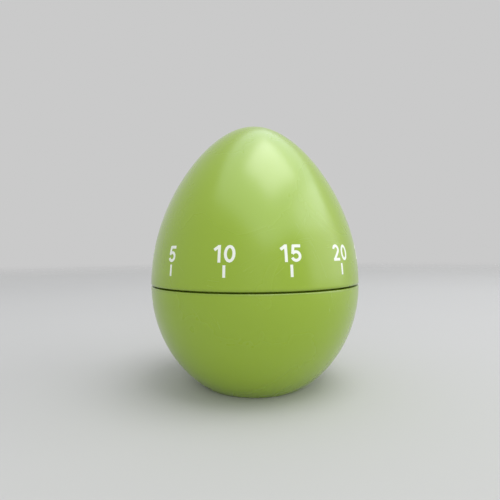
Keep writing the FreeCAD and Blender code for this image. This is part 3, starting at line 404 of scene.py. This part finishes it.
def lime_plastic_material():
    """Glossy lime-green ABS: slight clouds in the colour, pale rubbed edges, and a darker green in noisy
    patches next to the seam.
    """
    lime = (0.285, 0.425, 0.018, 1)
    deep_lime = (0.25, 0.385, 0.012, 1)
    rubbed = (0.50, 0.62, 0.22, 1)
    # A darker green that the colour turns to in noisy patches up to 0.9 mm above and below the seam.
    seam_dark_green = (0.10, 0.14, 0.035, 1)
    seam_dark_from = 0.0002
    seam_dark_to = 0.0009
    seam_dark_share = 0.55
    material, tree, shader = new_material("lime plastic")
    place = own_place(tree)
    skin = use(tree, moulded_skin, Peel_Scale=650.0, Cloud_Scale=45.0)
    wear = use(tree, edge_wear, Width=0.00025, Patchiness=700.0, Amount=0.8)["Wear"]
    scratch = use(tree, scratches, Scale=700.0, Fineness=0.006, Amount=0.6)["Scratch"]
    colour = blend(tree, noise(tree, place, scale=25.0, detail=2.0), lime, deep_lime)
    height = put(tree, "ShaderNodeSeparateXYZ", {0: place}).outputs["Z"]
    from_seam = reckon(tree, "ABSOLUTE", reckon(tree, "SUBTRACT", height, seam))
    # How far the colour darkens: most within 0.2 mm of the seam, none beyond 0.9 mm, broken up by noise.
    near_seam = ramp(tree, from_seam, seam_dark_from, seam_dark_to, low=seam_dark_share, high=0.0)
    seam_darkening = reckon(tree, "MULTIPLY", near_seam, noise(tree, place, scale=1500.0, detail=3.0))
    colour = blend(tree, wear, blend(tree, seam_darkening, colour, seam_dark_green), rubbed)
    feed(tree, shader.inputs["Base Color"], colour)
    rough = summed(tree, 0.26, (skin["Smudge"], 0.07), (scratch, 0.12), (wear, 0.2))
    feed(tree, shader.inputs["Roughness"], rough)
    relief = summed(tree, skin["Height"], (scratch, -0.6))
    roughened(tree, shader, relief, strength=0.12, distance=0.00003)
    shader.inputs["IOR"].default_value = 1.52
    shader.inputs["Coat Weight"].default_value = 0.5
    shader.inputs["Coat Roughness"].default_value = 0.24
    return material


lime_plastic = lime_plastic_material()


def latitude_at(rise, proud, height):
    """The egg's latitude at a height over the foot."""
    sine = (height - seam) / (rise + math.copysign(proud, rise * proud))
    return math.asin(max(-1.0, min(1.0, sine)))


def ring_at(rise, taper, proud, height):
    """The egg's radius at a height over the foot."""
    latitude = latitude_at(rise, proud, height)
    return (egg_radius + proud) * math.cos(latitude) * (1 - taper * math.sin(latitude) ** 2)


def egg_half(name, rise, taper, proud, height_from, height_to, rows=wall_rows):
    """A wall of one half of the egg between two heights."""
    return grown(name, egg_wall, {
        "Radius": egg_radius, "Rise": rise, "Taper": taper, "Seam": seam, "Proud": proud,
        "From": latitude_at(rise, proud, height_from), "To": latitude_at(rise, proud, height_to),
        "Segments": segments, "Rows": rows, "Material": lime_plastic})


def taken(*pieces):
    """The meshes of pieces that were only a step on the way."""
    meshes = [piece.data for piece in pieces]
    for piece in pieces:
        bpy.data.objects.remove(piece)
    return meshes


def base_solid(proud, low, high):
    """A closed block of the lower egg's shape, to trim what grows out of its wall."""
    wall = egg_half("base_block", -base_depth, 0.0, proud, high, low)
    over = turned((0, high), (ring_at(-base_depth, 0.0, proud, high), high))
    under = turned((ring_at(-base_depth, 0.0, proud, low), low), (0, low))
    return closed_up("base_block", *taken(wall), over, under)


rim = seam - seam_gap / 2
floor_top = foot_recess + floor_wall
foot_radius = ring_at(-base_depth, 0.0, 0.0, 0.0)
lip_outer = egg_radius - shell_wall - lip_clearance
lip_inner = lip_outer - lip_wall
lip_base = seam - lip_drop

outer_wall = egg_half("base_outer", -base_depth, 0.0, 0.0, rim, 0.0)
inner_wall = egg_half("base_inner", -base_depth, 0.0, -shell_wall, lip_base, floor_top)
underside = turned((foot_radius, 0), (foot_radius - foot_rim, 0), (foot_radius - foot_rim, foot_recess),
                   (0, foot_recess))
inner_floor = turned((ring_at(-base_depth, 0.0, -shell_wall, floor_top), floor_top), (0, floor_top))
lip = turned((ring_at(-base_depth, 0.0, 0.0, rim), rim), (lip_outer, rim), (lip_outer, seam + lip_rise),
             (lip_inner, seam + lip_rise), (lip_inner, lip_base),
             (ring_at(-base_depth, 0.0, -shell_wall, lip_base), lip_base))
base_walls = taken(outer_wall, inner_wall)
base_shell = rounded(closed_up("lower_half", *base_walls, underside, inner_floor, lip), edge_break)

boss_places = [polar(boss_reach, angle) for angle in boss_angles]
bosses = [post("boss", boss_radius, shell_wall / 2, boss_top, place) for place in boss_places]
bosses.append(post("bell_boss", bell_boss_radius, shell_wall / 2, bell_boss_top))
for boss in bosses:
    combined(boss, "INTERSECT", base_solid(-shell_wall / 2, shell_wall / 2, lip_base))
holes = [post("screw_hole", screw_hole_radius, screw_hole_floor, boss_top + seam_gap, place)
         for place in boss_places]
holes.append(post("bell_screw_hole", screw_hole_radius, bell_hole_floor, bell_boss_top + seam_gap))
gate_mark = post("gate_mark", gate_mark_radius, gate_mark_low, foot_recess + floor_wall / 2)
combined(base_shell, "UNION", *bosses, gate_mark)
combined(base_shell, "DIFFERENCE", *holes)
finished(base_shell, "base", lime_plastic, ["base_shell"])


# ---------- Zero pointer ----------
# A white arrowhead pad-printed on the lower shell just under the seam, where the dial is read. It
# faces -Y, the place of the zero at rest. Only the ink stands proud of the plastic.

ink_proud = 0.00002
ink_depth = 0.00004
pointer_width = 0.0036
pointer_height = 0.0034
pointer_top = -0.0012
pointer_turn = math.radians(-90)


def white_ink_material():
    """White printing ink: thin and satin, with pinholes that let the green through."""
    white = (0.82, 0.85, 0.78, 1)
    thin = (0.60, 0.74, 0.40, 1)
    material, tree, shader = new_material("white ink")
    fine = noise(tree, own_place(tree), scale=2600.0, detail=4.0, Roughness=0.7)
    worn = use(tree, edge_wear, Width=0.00008, Patchiness=2500.0, Amount=0.5)["Wear"]
    share = reckon(tree, "MAXIMUM", ramp(tree, fine, start=0.60, end=0.72), worn)
    feed(tree, shader.inputs["Base Color"], blend(tree, share, white, thin))
    feed(tree, shader.inputs["Roughness"], summed(tree, 0.22, (fine, 0.25)))
    roughened(tree, shader, fine, strength=0.15, distance=0.00002)
    return material


def wrapped_print_tree():
    """Wraps flat artwork round the egg. Its X runs round the surface, Y is the height over the seam
    and Z the thickness of the ink; Turn is where its middle goes."""
    takes = {"Artwork": "NodeSocketGeometry", "Turn": 0.0, "Radius": 0.03, "Rise": 0.046, "Taper": 0.0,
             "Seam": 0.029, "Cuts": 2, "Material": "NodeSocketMaterial"}
    gives = {"Print": "NodeSocketGeometry"}
    tree, given, result = new_group("wrapped print", "GeometryNodeTree", takes, gives)
    form = {name: given[name] for name in ("Radius", "Rise", "Taper", "Seam")}
    flat = corner_place(tree)
    latitude = reckon(tree, "ARCSINE", reckon(tree, "DIVIDE", flat["Y"], given["Rise"]))
    start = use(tree, egg_surface, Turn=0.0, Latitude=latitude, Proud=0.0, **form)
    reach = put(tree, "ShaderNodeSeparateXYZ", {0: start["Position"]}).outputs["X"]
    turn = reckon(tree, "ADD", given["Turn"], reckon(tree, "DIVIDE", flat["X"], reach))
    surface = use(tree, egg_surface, Turn=turn, Latitude=latitude, Proud=flat["Z"], **form)
    simple = put(tree, "GeometryNodeTriangulate", {0: given["Artwork"]})
    fine = put(tree, "GeometryNodeSubdivideMesh", {"Mesh": simple.outputs[0], "Level": given["Cuts"]})
    placed = put(tree, "GeometryNodeSetPosition", {
        "Geometry": fine.outputs[0], "Position": surface["Position"]})
    painted(tree, placed.outputs[0], given["Material"], result["Print"])
    return tree


white_ink = white_ink_material()
wrapped_print = wrapped_print_tree()


def plate_of_ink(outline):
    """A flat plate of ink with an outline, from just under the plastic's surface to just over it."""
    shape = bmesh.new()
    face = shape.faces.new([shape.verts.new((x, y, -ink_depth)) for x, y in outline])
    raised = bmesh.ops.extrude_face_region(shape, geom=[face])["geom"]
    bmesh.ops.translate(shape, vec=(0, 0, ink_depth + ink_proud),
                        verts=[item for item in raised if isinstance(item, bmesh.types.BMVert)])
    bmesh.ops.recalc_face_normals(shape, faces=shape.faces)
    return mesh_of("ink", shape)


arrowhead = plate_of_ink([(0, pointer_top), (-pointer_width / 2, pointer_top - pointer_height),
                          (pointer_width / 2, pointer_top - pointer_height)])
zero_pointer = grown("zero_pointer", wrapped_print, {
    "Turn": pointer_turn, "Radius": egg_radius, "Rise": -base_depth, "Taper": 0.0, "Seam": seam, "Cuts": 4,
    "Material": white_ink}, arrowhead)
finished(zero_pointer, "base", white_ink)


# ---------- Bell ----------
# A shallow cup pressed from steel sheet and nickel plated. It hangs by its middle on a boss, held
# by a washer and a slotted screw of zinc-plated steel, so that its rim is free to ring.

def worked_grain_group():
    """Marks of rolling, turning or brushing: noise drawn out along one way. Stretch says how fast
    it changes along each axis, so a small number is a long mark."""
    takes = {"Stretch": (1.0, 0.03, 1.0), "Scale": 2500.0}
    gives = {"Height": "NodeSocketFloat", "Streak": "NodeSocketFloat"}
    coarser = 0.2
    tree, given, result = new_group("worked grain", "ShaderNodeTree", takes, gives)
    drawn = put(tree, "ShaderNodeVectorMath", {
        0: own_place(tree), 1: given["Stretch"]}, operation="MULTIPLY").outputs[0]
    coarse = noise(tree, drawn, reckon(tree, "MULTIPLY", given["Scale"], coarser), detail=1.0)
    feed(tree, result["Height"], noise(tree, drawn, given["Scale"], detail=4.0, Roughness=0.65))
    feed(tree, result["Streak"], ramp(tree, coarse, start=0.3, end=0.7))
    return tree


def tarnish_group():
    """Cloudy mask where a metal has dulled, with small darker spots in it."""
    takes = {"Scale": 150.0, "Spread": 0.5}
    gives = {"Tarnish": "NodeSocketFloat"}
    threshold = 0.85
    fade = 0.3
    finer = 8.0
    spot_size = 0.25
    spot_depth = 0.4
    tree, given, result = new_group("tarnish", "ShaderNodeTree", takes, gives)
    place = own_place(tree)
    cloud = noise(tree, place, given["Scale"], detail=5.0, Distortion=0.8)
    spots = put(tree, "ShaderNodeTexVoronoi", {
        "Vector": place, "Scale": reckon(tree, "MULTIPLY", given["Scale"], finer)})
    spot = ramp(tree, spots.outputs["Distance"], 0.0, spot_size, low=spot_depth, high=0.0)
    low = reckon(tree, "SUBTRACT", threshold, given["Spread"])
    dulled = ramp(tree, cloud, low, reckon(tree, "ADD", low, fade))
    mask = reckon(tree, "ADD", dulled, reckon(tree, "MULTIPLY", spot, cloud))
    feed(tree, result["Tarnish"], put(tree, "ShaderNodeClamp", {0: mask}).outputs[0])
    return tree


worked_grain = worked_grain_group()
tarnish = tarnish_group()


def metal_material(name, bright, dull, rough, stretch, grain_scale, tarnish_scale=150.0, spread=0.5,
                   grain_depth=0.25, worn=(0.75, 0.74, 0.72, 1)):
    """A worked metal: bright and dulled colours mixed by tarnish, streaks of grain in its gloss,
    hairline scratches, and edges rubbed bright."""
    material, tree, shader = new_material(name)
    shader.inputs["Metallic"].default_value = 1.0
    grain = use(tree, worked_grain, Stretch=stretch, Scale=grain_scale)
    dulled = use(tree, tarnish, Scale=tarnish_scale, Spread=spread)["Tarnish"]
    rubbed = use(tree, edge_wear, Width=0.00006, Patchiness=1800.0, Amount=0.9)["Wear"]
    scratch = use(tree, scratches, Scale=1800.0, Fineness=0.015, Amount=1.0)["Scratch"]
    shade = summed(tree, 0.0, (grain["Streak"], 0.35), (dulled, 0.65))
    colour = blend(tree, rubbed, blend(tree, shade, bright, dull), worn)
    feed(tree, shader.inputs["Base Color"], colour)
    rough = summed(tree, rough, (grain["Height"], 0.18), (dulled, 0.16), (scratch, 0.15))
    feed(tree, shader.inputs["Roughness"], rough)
    relief = summed(tree, grain["Height"], (scratch, -0.5))
    roughened(tree, shader, relief, strength=grain_depth, distance=0.00002)
    return material


def dressed(material, *names):
    """Gives pieces that keep their CAD shape their finish."""
    for name in names:
        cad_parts[name].material_slots[0].material = material


nickel_plate = metal_material(
    "nickel plate", bright=(0.70, 0.67, 0.61, 1), dull=(0.42, 0.39, 0.34, 1), rough=0.10,
    stretch=(0.05, 0.05, 1.0), grain_scale=1800.0, spread=0.35, grain_depth=0.12)
zinc_plate = metal_material(
    "zinc plate", bright=(0.66, 0.68, 0.70, 1), dull=(0.36, 0.38, 0.40, 1), rough=0.24,
    stretch=(1.0, 1.0, 1.0), grain_scale=1500.0)
dressed(nickel_plate, "bell")
dressed(zinc_plate, "bell_screw", "bell_washer", "movement_screws")


# ---------- Movement frame ----------
# Two round steel plates, stamped and left as rolled, held apart by three riveted pillars. Brass
# bushings are pressed in for the main arbor, and three screws hold the lower plate to the shell.

brass_worn = (0.92, 0.76, 0.42, 1)

rolled_steel = metal_material(
    "rolled steel", bright=(0.62, 0.62, 0.61, 1), dull=(0.42, 0.41, 0.39, 1), rough=0.26,
    stretch=(1.0, 0.025, 1.0), grain_scale=3000.0, spread=0.4)
turned_steel = metal_material(
    "turned steel", bright=(0.56, 0.56, 0.57, 1), dull=(0.34, 0.34, 0.35, 1), rough=0.18,
    stretch=(0.08, 0.08, 1.0), grain_scale=9000.0, tarnish_scale=400.0, spread=0.4)
turned_brass = metal_material(
    "turned brass", bright=(0.83, 0.60, 0.24, 1), dull=(0.45, 0.28, 0.10, 1), rough=0.20,
    stretch=(0.1, 0.1, 1.0), grain_scale=7000.0, tarnish_scale=300.0, spread=0.45, worn=brass_worn)
dressed(rolled_steel, "lower_plate", "upper_plate", "stop_pin", "spring_post")
dressed(turned_steel, "pillars")
dressed(turned_brass, "lower_bushing", "upper_bushing")


# ---------- Mainspring ----------
# A flat strip of blued spring steel, wound round the main arbor. Its outer end is held by a post
# riveted in the lower plate.

blued_steel = metal_material(
    "blued steel", bright=(0.12, 0.16, 0.30, 1), dull=(0.20, 0.13, 0.10, 1), rough=0.16,
    stretch=(1.0, 1.0, 0.04), grain_scale=2200.0, tarnish_scale=90.0, spread=0.55,
    worn=(0.50, 0.52, 0.58, 1))
dressed(blued_steel, "mainspring")


# ---------- Main arbor ----------
# Turned steel, with a flat at its top that drives the dial. The ratchet wheel, the stop ring and
# the strike cam are stamped steel pressed on it, with a washer over the main wheel.

dressed(turned_steel, "main_arbor")
dressed(rolled_steel, "ratchet_wheel", "arbor_washer", "stop_ring", "strike_cam")


# ---------- Main wheel and click ----------
# The main wheel is stamped brass and turns free on the arbor. A steel click riveted to it hooks
# into the ratchet, pressed in by a small coil, so the spring drives the wheel but not while winding.

stamped_brass = metal_material(
    "stamped brass", bright=(0.80, 0.57, 0.22, 1), dull=(0.42, 0.25, 0.09, 1), rough=0.22,
    stretch=(0.03, 1.0, 1.0), grain_scale=3200.0, tarnish_scale=180.0, worn=brass_worn)
dressed(stamped_brass, "main_wheel")
dressed(rolled_steel, "click")
dressed(zinc_plate, "click_rivet")
dressed(blued_steel, "click_spring")


# ---------- Train ----------
# Three arbors of turned steel with pinions cut on them. The second wheel is brass; the third and
# the escape wheel are moulded in natural nylon, which runs without oil.

def nylon_material():
    """Natural nylon: off-white, satin, yellower in clouds, with a faint grain from its mould."""
    fresh = (0.80, 0.79, 0.72, 1)
    yellowed = (0.70, 0.64, 0.48, 1)
    rubbed = (0.88, 0.87, 0.83, 1)
    material, tree, shader = new_material("natural nylon")
    skin = use(tree, moulded_skin, Peel_Scale=3000.0, Cloud_Scale=220.0)
    worn = use(tree, edge_wear, Width=0.00006, Patchiness=2200.0, Amount=0.7)["Wear"]
    colour = blend(tree, worn, blend(tree, skin["Smudge"], fresh, yellowed), rubbed)
    feed(tree, shader.inputs["Base Color"], colour)
    feed(tree, shader.inputs["Roughness"], summed(tree, 0.38, (skin["Smudge"], 0.15)))
    roughened(tree, shader, skin["Height"], strength=0.2, distance=0.00002)
    shader.inputs["Subsurface Weight"].default_value = 0.15
    shader.inputs["Subsurface Radius"].default_value = (0.001, 0.0009, 0.0007)
    return material


natural_nylon = nylon_material()
dressed(turned_steel, "second_pinion", "third_pinion", "escape_pinion")
dressed(stamped_brass, "second_wheel")
dressed(natural_nylon, "third_wheel", "escape_wheel")


# ---------- Escapement ----------
# A stamped steel anchor with two steel pins rocks on its arbor and lets the escape wheel pass one
# tooth at a time. A brass balance on the same arbor sets the beat.

dressed(rolled_steel, "anchor")
dressed(turned_steel, "anchor_pins", "anchor_arbor")
dressed(stamped_brass, "balance_disc")


# ---------- Strike work ----------
# A second pinion driven by the main wheel carries the brass strike wheel. It kicks the hammer's
# pallet, and the brass head below the plate beats against the inside of the bell.

dressed(stamped_brass, "strike_wheel")
dressed(turned_steel, "strike_pinion", "hammer_arbor")
dressed(rolled_steel, "hammer_pallet", "hammer_stop_arm", "hammer_arm")
dressed(turned_brass, "hammer_head")


# ---------- Release lever ----------
# A stamped steel lever on a stud over the upper plate. It drops into the strike cam's notch when
# the dial is at zero, and its finger lets go of the hammer.

dressed(rolled_steel, "release_lever", "lever_stud")
dressed(turned_steel, "release_finger")
dressed(blued_steel, "lever_spring")


# ---------- Upper shell, the dial ----------
# The upper half of the egg, moulded in the same green ABS. A hub on four ribs inside has a D-shaped
# socket that presses on the main arbor's flat, and its rim turns over the lower shell's lip.

hub_radius = 0.005
hub_lift = 0.0027
hub_length = 0.026
rib_wall = 0.0012
rib_lift = 0.012
socket_radius = 0.00255
socket_flat = 0.00195
socket_depth = 0.011
crown_taper = 0.17
crown_rise = egg_high.z - seam
crown_rows = 96

crown_low = seam + seam_gap / 2
plates_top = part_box("upper_plate")[1].z
hub_low = plates_top + hub_lift
quarter_turn = Matrix.Rotation(math.radians(90), 4, "Z")


def block(name, low, high):
    """A closed rectangular block between two corners."""
    shape = bmesh.new()
    place = Matrix.Translation((low + high) / 2) @ Matrix.Diagonal((*(high - low), 1))
    bmesh.ops.create_cube(shape, size=1, matrix=place)
    return new_piece(name, mesh_of(name, shape))


def crown_wall(proud, low, rows):
    """The upper egg's wall from a height up to its tip."""
    return egg_half("crown_wall", crown_rise, crown_taper, proud, low, seam + crown_rise + proud, rows)


def crown_ring(proud, low):
    """A corner on the upper egg's wall at a height."""
    return ring_at(crown_rise, crown_taper, proud, low), low


rim_flat = turned(crown_ring(0.0, crown_low), crown_ring(-shell_wall, crown_low))
crown_walls = taken(crown_wall(0.0, crown_low, crown_rows), crown_wall(-shell_wall, crown_low, wall_rows))
upper_shell = rounded(closed_up("upper_half", *crown_walls, rim_flat), edge_break)

rib_low = Vector((-egg_radius, -rib_wall / 2, hub_low + rib_lift))
rib_high = Vector((egg_radius, rib_wall / 2, egg_high.z))
ribs = [block("rib_across", rib_low, rib_high), block("rib_along", rib_low, rib_high)]
ribs[1].data.transform(quarter_turn)
hub = combined(post("hub", hub_radius, hub_low, hub_low + hub_length), "UNION", *ribs)
inside_crown = closed_up("inside_crown", *taken(crown_wall(-shell_wall / 2, plates_top, wall_rows)),
                         turned(crown_ring(-shell_wall / 2, plates_top), (0, plates_top)))
combined(hub, "INTERSECT", inside_crown)
socket = post("socket", socket_radius, plates_top, hub_low + socket_depth)
beyond_flat = block("beyond_flat", Vector((socket_flat, -hub_radius, plates_top - seam_gap)),
                    Vector((hub_radius, hub_radius, hub_low + hub_length)))
combined(socket, "DIFFERENCE", beyond_flat)
combined(upper_shell, "UNION", hub)
combined(upper_shell, "DIFFERENCE", socket)
finished(upper_shell, "dial", lime_plastic, ["upper_shell"])


# ---------- Numbers and ticks of the dial ----------
# White numbers every five minutes, pad-printed round the dial with a short tick under each. They
# grow anticlockwise seen from above, so the dial winds clockwise and runs back to zero.

numbers = range(0, 60, 5)
number_height = 0.0040
number_low = 0.0069
pen = 0.00070
digit_gap = 0.00078
digit_widths = {"0": 0.68, "1": 0.43, "2": 0.64, "3": 0.66, "4": 0.70, "5": 0.66}
tick_width = 0.00068
tick_low = 0.0035
tick_high = 0.0063
per_minute = math.radians(6)
curve_steps = 16


def curve(middle, reach, start, end):
    """Points round an ellipse from one angle to another, in degrees."""
    x, y = middle
    wide, high = reach
    angles = [math.radians(start + (end - start) * step / curve_steps) for step in range(curve_steps + 1)]
    return [(x + wide * math.cos(angle), y + high * math.sin(angle)) for angle in angles]


def pen_stroke(corners, is_ring=False):
    """A closed plate of ink as wide as the pen along a line, whose corners are in number heights."""
    points = [Vector(corner) * number_height for corner in corners]
    shape = bmesh.new()
    rings = []
    for index, point in enumerate(points):
        before = points[index - 1] if is_ring or index else point
        after = points[(index + 1) % len(points)] if is_ring or index + 1 < len(points) else point
        along = (point - before).normalized() + (after - point).normalized()
        side = along.normalized().orthogonal() * pen / 2
        corner = [(point + side, -ink_depth), (point - side, -ink_depth), (point - side, ink_proud),
                  (point + side, ink_proud)]
        rings.append([shape.verts.new((*place, height)) for place, height in corner])
    for first, second in zip(rings, rings[1:] + rings[:1] if is_ring else rings[1:]):
        for index in range(4):
            shape.faces.new((first[index], first[index - 1], second[index - 1], second[index]))
    if not is_ring:
        shape.faces.new(rings[0])
        shape.faces.new(rings[-1])
    return closed_up("stroke", mesh_of("stroke", shape))


def digit(*strokes):
    """One digit as a closed plate of ink, from the strokes that it is written with."""
    pieces = [pen_stroke(stroke) for stroke in strokes]
    return taken(combined(pieces[0], "UNION", *pieces[1:]))[0]


# Each digit is one number height tall. A stroke's line runs half a pen inside the digit's outline.
inset = pen / number_height / 2
top = 1 - inset
digits = {
    "0": taken(pen_stroke(curve((0.34, 0.5), (0.34 - inset, top - 0.5), 0, 360)[:-1], is_ring=True))[0],
    "1": digit([(0.43 - inset, 0), (0.43 - inset, 1)], [(0.03, 0.715), (0.31, top)]),
    "2": digit(curve((0.32, 0.69), (0.32 - inset, top - 0.69), 172, -35) + [(0.10, inset)],
               [(0.015, inset), (0.64, inset)]),
    "3": digit(curve((0.32, 0.74), (0.30 - inset, top - 0.74), 165, -90) + [(0.21, 0.565)],
               [(0.21, 0.565)] + curve((0.32, 0.325), (0.34 - inset, 0.325 - inset), 90, -162)),
    "4": digit([(0.48, 0), (0.48, 1)], [(0.07, 0.26), (0.44, 0.94)], [(0, 0.28), (0.70, 0.28)]),
    "5": digit([(0.63, top), (0.14, top)], [(0.18, 0.97), (0.12, 0.46)],
               curve((0.32, 0.335), (0.34 - inset, 0.335 - inset), 150, -160)),
}


def number_artwork(number):
    """The mesh of one number, lying flat: its foot at its height over the seam, its middle at X 0."""
    written = str(number)
    widths = [digit_widths[character] * number_height for character in written]
    start = -(sum(widths) + digit_gap * (len(written) - 1)) / 2
    meshes = []
    for character, width in zip(written, widths):
        mesh = digits[character].copy()
        mesh.transform(Matrix.Translation((start, number_low, 0)))
        meshes.append(mesh)
        start += width + digit_gap
    return taken(closed_up("number", *meshes))[0]


def tick_tree():
    """One printed tick, wrapped round the egg at Turn and repeated all the way round."""
    takes = {"Width": 0.0006, "Low": 0.003, "High": 0.006, "Under": 0.0, "Over": 0.0, "Turn": 0.0,
             "Count": 12, "Radius": 0.03, "Rise": 0.046, "Taper": 0.0, "Seam": 0.029,
             "Material": "NodeSocketMaterial"}
    gives = {"Ticks": "NodeSocketGeometry"}
    tree, given, result = new_group("dial ticks", "GeometryNodeTree", takes, gives)
    length = reckon(tree, "SUBTRACT", given["High"], given["Low"])
    thickness = reckon(tree, "ADD", given["Under"], given["Over"])
    size = put(tree, "ShaderNodeCombineXYZ", {"X": given["Width"], "Y": length, "Z": thickness})
    bar = put(tree, "GeometryNodeMeshCube", {"Size": size.outputs[0], "Vertices X": 3, "Vertices Y": 6})
    middle = put(tree, "ShaderNodeCombineXYZ", {
        "Y": reckon(tree, "MULTIPLY", reckon(tree, "ADD", given["High"], given["Low"]), 0.5),
        "Z": reckon(tree, "MULTIPLY", reckon(tree, "SUBTRACT", given["Over"], given["Under"]), 0.5)})
    lifted = put(tree, "GeometryNodeTransform", {
        "Geometry": bar.outputs[0], "Translation": middle.outputs[0]})
    form = {name: given[name] for name in ("Turn", "Radius", "Rise", "Taper", "Seam", "Material")}
    bent = use(tree, wrapped_print, Artwork=lifted.outputs[0], Cuts=0, **form)
    spots = put(tree, "GeometryNodeMeshLine", {"Count": given["Count"], "Offset": (0.0, 0.0, 0.0)})
    index = tree.nodes.new("GeometryNodeInputIndex").outputs[0]
    turn = reckon(tree, "DIVIDE", reckon(tree, "MULTIPLY", index, math.tau), given["Count"])
    around = put(tree, "ShaderNodeCombineXYZ", {"Z": turn})
    copies = put(tree, "GeometryNodeInstanceOnPoints", {
        "Points": spots.outputs[0], "Instance": bent["Print"], "Rotation": around.outputs[0]})
    painted(tree, copies.outputs[0], given["Material"], result["Ticks"])
    return tree


crown_form = {"Radius": egg_radius, "Rise": crown_rise, "Taper": crown_taper, "Seam": seam,
              "Material": white_ink}
printed = []
for number in numbers:
    placing = {"Turn": pointer_turn + number * per_minute, "Cuts": 2}
    printed.append(grown("number", wrapped_print, {**placing, **crown_form}, number_artwork(number)))
dial_numbers = closed_up("dial_numbers", *taken(*printed))
finished(dial_numbers, "dial", white_ink)

dial_ticks = grown("dial_ticks", tick_tree(), {
    "Width": tick_width, "Low": tick_low, "High": tick_high, "Under": ink_depth, "Over": ink_proud,
    "Turn": pointer_turn, "Count": len(numbers), **crown_form})
finished(dial_ticks, "dial", white_ink)


# ---------- Floor and light ----------
# A pale matt table top that fades into an even pale surround. A soft window light hangs over the
# egg, a little to the right, with a wider and bluer one round it that shows only as sheen. A large
# weak one is low on the right, with a fill in front.

floor_grey = (0.57, 0.57, 0.565, 1)
floor_shade = (0.55, 0.55, 0.545, 1)
floor_radius = 1.2
fade_from = 0.2
surround_grey = (0.59, 0.59, 0.59, 1)
sky_light = (0.97, 0.98, 1.0, 1)
sky_strength = 0.68
daylight_blue = (0.8, 0.9, 1.0)
light_distance = 0.9

view_turn = math.radians(74.1)
towards_camera = Vector((math.sin(view_turn), -math.cos(view_turn), 0))
camera_right = Vector((math.cos(view_turn), math.sin(view_turn), 0))
egg_middle = Vector((0, 0, egg_high.z / 2))


def pale_floor_material():
    """Matt grey with faint clouds, that fades out towards its far edge."""
    material, tree, shader = new_material("pale floor")
    place = own_place(tree)
    clouds = noise(tree, place, scale=6.0, detail=3.0)
    feed(tree, shader.inputs["Base Color"], blend(tree, clouds, floor_grey, floor_shade))
    shader.inputs["Roughness"].default_value = 0.8
    shader.inputs["Specular IOR Level"].default_value = 0.2
    away = put(tree, "ShaderNodeVectorMath", {0: place}, operation="LENGTH").outputs["Value"]
    solid = ramp(tree, away, fade_from, floor_radius, low=1.0, high=0.0, interpolation_type="SMOOTHSTEP")
    feed(tree, shader.inputs["Alpha"], solid)
    return material


table_top = new_piece("floor", turned((0, 0), (floor_radius, 0)))
table_top.data.materials.append(pale_floor_material())


def softbox(name, right, forward, up, width, height, power):
    """A rectangular area light that faces the egg. Its direction is as the camera sees it, and
    forward means towards the camera."""
    lamp = bpy.data.lights.new(name, "AREA")
    lamp.shape = "RECTANGLE"
    lamp.size = width
    lamp.size_y = height
    lamp.energy = power
    light = new_piece(name, lamp)
    direction = (towards_camera * forward + camera_right * right + Vector((0, 0, up))).normalized()
    light.location = egg_middle + direction * light_distance
    light.rotation_mode = "QUATERNION"
    light.rotation_quaternion = (-direction).to_track_quat("-Z", "Y")
    return light


softbox("window", right=0.23, forward=0.15, up=0.9, width=0.62, height=0.55, power=3.2)
sheen = softbox("sheen", right=0.26, forward=0.2, up=0.9, width=1.9, height=1.6, power=14.0)
sheen.visible_diffuse = False
sheen.data.color = daylight_blue
softbox("side", right=1.0, forward=0.15, up=0.35, width=0.8, height=0.9, power=2.6)
fill = softbox("fill", right=0.1, forward=0.9, up=0.25, width=0.6, height=0.6, power=2.0)
fill.visible_glossy = False

world = bpy.data.worlds.new("sky")
bpy.context.scene.world = world
world.use_nodes = True
sky = world.node_tree
sky.nodes.clear()
lighting = put(sky, "ShaderNodeBackground", {"Color": sky_light, "Strength": sky_strength})
seen = put(sky, "ShaderNodeBackground", {"Color": surround_grey, "Strength": 1.0})
ray = sky.nodes.new("ShaderNodeLightPath").outputs["Is Camera Ray"]
either = put(sky, "ShaderNodeMixShader", {0: ray, 1: lighting.outputs[0], 2: seen.outputs[0]})
put(sky, "ShaderNodeOutputWorld", {"Surface": either.outputs[0]})
bpy.context.scene.view_settings.view_transform = "Standard"


# ---------- Camera ----------
# Level with the middle of the egg and close to it, facing the numbers ten and fifteen.

camera_distance = 0.1169
camera_height = 0.0387
camera_aside = 0.0013
camera_roll = math.radians(-0.5)

lens = bpy.data.cameras.new("camera")
lens.lens = 28.1
lens.sensor_width = 36.0
lens.clip_start = 0.001
camera = new_piece("camera", lens)
camera.location = towards_camera * camera_distance - camera_right * camera_aside
camera.location.z = camera_height
camera.rotation_mode = "QUATERNION"
level_view = (-towards_camera).to_track_quat("-Z", "Y")
camera.rotation_quaternion = level_view @ Matrix.Rotation(camera_roll, 3, "Z").to_quaternion()
bpy.context.scene.camera = camera
